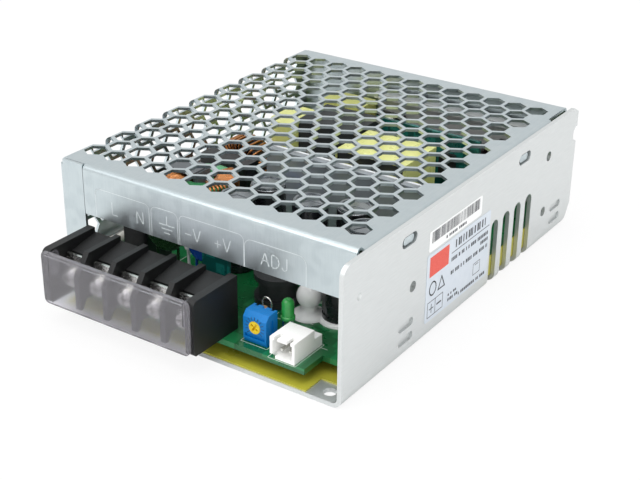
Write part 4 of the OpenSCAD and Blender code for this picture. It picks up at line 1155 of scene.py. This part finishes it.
@dataclass
class Labels:
    """The two plain stickers on the wall, with generic fields and rows in place of any wording."""

    seed: int = 11
    sheet: float = 0.09
    ink: float = 0.108
    bars: int = 44
    margin: float = 1.5

    def build(self) -> None:
        """Makes both stickers and their print."""
        wall = box_mm("rating_label")[0].x
        for node, name, finish, slot in (
            ("rating_label", "rating_sticker", FOIL, "foil_label"),
            ("serial_label", "serial_sticker", PAPER, "paper_label"),
        ):
            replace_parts(self.sticker(node, name, finish, slot, wall), node)
        self.rating_print(wall)
        self.code_print(wall)

    def sticker(self, node: str, name: str, finish: Finish, slot: str, wall: float) -> Object:
        """Makes a thin plate with rounded corners where the CAD sticker is.

        Args:
            node: the CAD sticker.
            name: name of the piece.
            finish: its finish.
            slot: the record's material slot.
            wall: X of the chassis wall.

        Returns:
            The object.
        """
        low, high = box_mm(node)
        corner = 0.6
        outline = []
        for cu, cv, start in (
            (high.y - corner, high.z - corner, 0),
            (low.y + corner, high.z - corner, 1),
            (low.y + corner, low.z + corner, 2),
            (high.y - corner, low.z + corner, 3),
        ):
            outline += arc(cu, cv, corner, (90 * (start + i / 4) for i in range(5)))
        n = len(outline)
        points = [(wall, u, v) for u, v in outline] + [(wall + self.sheet, u, v) for u, v in outline]
        faces = [list(range(n, 2 * n)), list(range(n - 1, -1, -1))]
        faces += [[i, (i + 1) % n, n + (i + 1) % n, n + i] for i in range(n)]
        return piece(name, points, faces, finish, slot)

    def rows(self, rng: random.Random, u0: float, u1: float, v: float, height: float) -> list[Outline]:
        """Draws a row of short bars as stand-in for a line of small print.

        Args:
            rng: source of the bar lengths.
            u0: where the row starts.
            u1: where it ends.
            v: its base line.
            height: height of the bars.

        Returns:
            The bars.
        """
        bars = []
        while u0 < u1:
            run = min(rng.uniform(0.45, 0.85), u1 - u0)
            bars.append(rectangle(u0, v, u0 + run, v + height))
            u0 += run + rng.choice((0.25, 0.25, 0.9))
        return bars

    def rating_print(self, wall: float) -> None:
        """Prints the rating sticker: a plain colour field, rules, rows and empty boxes."""
        level = wall + self.ink
        rng = random.Random(self.seed)
        field_box = rectangle(-24.0, 18.0, -14.0, 23.8)
        flat_print("rating_field", [field_box], Plane.RIGHT, level, CORAL_INK, "foil_label")
        marks = stroke([(-12.4, 20.4), (8.6, 20.4)], 0.22)
        # each row of bars: where it starts and ends, its base line, its height
        for u0, u1, v, height in (
            (-10.5, 6.5, 21.3, 2.3),
            (-12.4, 8.2, 17.9, 1.1),
            (4.0, 8.2, 16.1, 1.0),
            (-12.4, 8.2, 14.0, 1.1),
            (-7.5, 8.4, 5.8, 0.9),
            (-13.4, -7.8, 6.4, 0.9),
            (-13.4, -8.4, 8.0, 0.7),
        ):
            marks += self.rows(rng, u0, u1, v, height)
        # boxes with a plain cross and bar in them, and one empty box
        for path, width, closed in (
            (rectangle(-24.2, 6.2, -20.2, 10.6), 0.2, True),
            (rectangle(-20.2, 6.2, -16.2, 10.6), 0.2, True),
            ([(-22.2, 7.2), (-22.2, 9.6)], 0.3, False),
            ([(-23.2, 8.4), (-21.2, 8.4)], 0.3, False),
            ([(-19.2, 8.4), (-17.2, 8.4)], 0.5, False),
            (rectangle(0.6, 8.2, 4.4, 11.6), 0.18, True),
            ([(1.6, 11.0), (3.4, 11.0)], 0.2, False),
        ):
            marks += stroke(path, width, closed)
        turns = [i * math.tau / 20 for i in range(20)]
        ring = [(-21.9 + 1.7 * math.cos(a), 14.2 + 1.9 * math.sin(a)) for a in turns]
        marks += stroke(ring, 0.4, True)
        marks += stroke([(-19.0, 12.5), (-17.3, 15.9), (-15.6, 12.5)], 0.4, True)
        flat_print("rating_print", marks, Plane.RIGHT, level, GREY_INK, "foil_label")

    def code_print(self, wall: float) -> None:
        """Prints a plain bar pattern and one row on the upper sticker."""
        low, high = box_mm("serial_label")
        grown(
            "bar_pattern",
            self.bar_tree,
            {
                "Bars": self.bars,
                "Width": 0.3 * MM,
                "Height": 3.1 * MM,
                "Step": (high.y - low.y - 2 * self.margin) / (self.bars - 1) * MM,
                "Left": (low.y + self.margin) * MM,
                "Middle": 29.3 * MM,
                "Level": (wall + self.ink) * MM,
            },
            GREY_INK,
        )
        rng = random.Random(self.seed + 1)
        row = self.rows(rng, -16.0, -5.0, 26.2, 0.8)
        flat_print("serial_row", row, Plane.RIGHT, wall + self.ink, GREY_INK, "paper_label")

    def bar_tree(self, tree: Tree) -> Socket:
        """Builds the tree of upright bars whose widths vary by a fixed seed.

        Args:
            tree: the geometry tree, with inputs Bars, Width, Height, Step, Left, Middle and Level.

        Returns:
            The geometry socket.
        """
        given = add(tree, "NodeGroupInput").outputs
        corner = {"X": given["Level"], "Y": given["Left"], "Z": given["Middle"]}
        start = add(tree, "ShaderNodeCombineXYZ", None, corner)
        offset = add(tree, "ShaderNodeCombineXYZ", None, {"Y": given["Step"]})
        line = add(
            tree,
            "GeometryNodeMeshLine",
            None,
            {"Count": given["Bars"], "Start Location": start, "Offset": offset},
        )
        size = {"Size X": given["Height"], "Size Y": given["Width"]}
        bar = add(tree, "GeometryNodeMeshGrid", {"Vertices X": 2, "Vertices Y": 2}, size)
        stood = {"Rotation": (0.0, math.pi / 2, 0.0)}
        upright = add(tree, "GeometryNodeTransform", stood, {"Geometry": bar})
        spread = add(
            tree, "FunctionNodeRandomValue", {"data_type": "FLOAT", 2: 0.35, 3: 1.75, "Seed": self.seed}
        )
        wide = add(tree, "ShaderNodeCombineXYZ", {"X": 1.0, "Z": 1.0}, {"Y": spread.outputs[1]})
        placed = add(
            tree,
            "GeometryNodeInstanceOnPoints",
            None,
            {"Points": line, "Instance": upright, "Scale": wide},
        )
        return placed.outputs[0]


# ------------------------------------------------------------------ studio


@dataclass
class Studio:
    """White floor, pale surround, soft lights and the camera."""

    azimuth: float = 33.784
    elevation: float = 26.425
    roll: float = 0.711
    distance: float = 345.679
    target: tuple[float, float, float] = (15.064, -23.582, 19.0)
    lens: float = 72.474
    ambient: float = 0.9
    mirrored: float = 0.9
    whitened: float = 0.87

    def build(self) -> None:
        """Makes the floor, the world, the lights and the camera."""
        self.floor()
        self.world()
        self.lights()
        self.camera()

    def floor(self) -> None:
        """Lays a white sweep that shows white to the camera and keeps the object's shadow."""
        size = 6.0
        mesh = bpy.data.meshes.new("floor")
        corners = [(-size, -size, 0), (size, -size, 0), (size, size, 0), (-size, size, 0)]
        mesh.from_pydata(corners, [], [(0, 1, 2, 3)])
        ground = bpy.data.objects.new("floor", mesh)
        bpy.context.scene.collection.objects.link(ground)
        made = bpy.data.materials.new("white sweep")
        made.use_nodes = True
        tree = made.node_tree
        tree.nodes.clear()
        paper = add(tree, "ShaderNodeBsdfDiffuse", {"Color": linear("#E8E8E8")})
        glow = add(tree, "ShaderNodeEmission", {"Color": (1, 1, 1, 1), "Strength": 1.0})
        ray = add(tree, "ShaderNodeLightPath").outputs
        share = calc(tree, "MULTIPLY", ray["Is Camera Ray"], self.whitened)
        both = add(tree, "ShaderNodeMixShader", None, {0: share, 1: paper, 2: glow})
        add(tree, "ShaderNodeOutputMaterial", None, {"Surface": both})
        mesh.materials.append(made)

    def world(self) -> None:
        """Makes an even pale surround, white where the camera, metal or glass sees it."""
        world = bpy.data.worlds.new("studio")
        bpy.context.scene.world = world
        world.use_nodes = True
        tree = world.node_tree
        tree.nodes.clear()
        ray = add(tree, "ShaderNodeLightPath").outputs
        seen = calc(tree, "MAXIMUM", ray["Is Camera Ray"], ray["Is Transmission Ray"])
        span = {"To Min": self.ambient, "To Max": self.mirrored}
        around = add(tree, "ShaderNodeMapRange", span, {"Value": ray["Is Glossy Ray"]})
        power = add(tree, "ShaderNodeMix", {"data_type": "FLOAT", 3: 1.0}, {0: seen, 2: around})
        sky = add(tree, "ShaderNodeBackground", {"Color": (1, 1, 1, 1)}, {"Strength": power})
        add(tree, "ShaderNodeOutputWorld", None, {"Surface": sky})

    def lights(self) -> None:
        """Hangs three large soft boxes."""
        for name, place, size, watts in (
            ("key", (-0.35, -0.8, 0.8), 0.7, 3.6),
            ("fill", (0.9, -0.4, 0.5), 0.6, 1.3),
            ("top", (0.0, -0.1, 1.2), 0.8, 6.4),
        ):
            data = bpy.data.lights.new(name, "AREA")
            data.energy, data.size = watts, size
            lamp = bpy.data.objects.new(name, data)
            lamp.location = place
            lamp.rotation_mode = "QUATERNION"
            lamp.rotation_quaternion = (Vector(place) - Vector((0, 0, 0.02))).to_track_quat("Z", "Y")
            bpy.context.scene.collection.objects.link(lamp)

    def camera(self) -> None:
        """Stands the camera at the viewing angle."""
        a, e, r = (math.radians(v) for v in (self.azimuth, self.elevation, self.roll))
        back = Vector((math.sin(a) * math.cos(e), -math.cos(a) * math.cos(e), math.sin(e)))
        right = Vector((math.cos(a), math.sin(a), 0.0))
        up = back.cross(right)
        right, up = right * math.cos(r) + up * math.sin(r), up * math.cos(r) - right * math.sin(r)
        data = bpy.data.cameras.new("camera")
        data.lens, data.sensor_width = self.lens, 36.0
        data.clip_start, data.clip_end = 0.01, 50.0
        eye = bpy.data.objects.new("camera", data)
        eye.matrix_world = Matrix.Translation((Vector(self.target) + back * self.distance) * MM) @ Matrix(
            (right, up, back)
        ).transposed().to_4x4()
        bpy.context.scene.collection.objects.link(eye)
        bpy.context.scene.camera = eye


def main() -> None:
    """Builds and dresses the supply, then the studio."""
    logging.basicConfig(level=logging.INFO, format="%(name)s: %(message)s")
    scene = bpy.context.scene
    scene.view_settings.view_transform = "Standard"
    for kind in (Chassis, MeshCover, TerminalBlock, SignalParts, Board, PowerParts, Labels, Studio):
        kind().build()


if __name__ == "__main__":
    main()
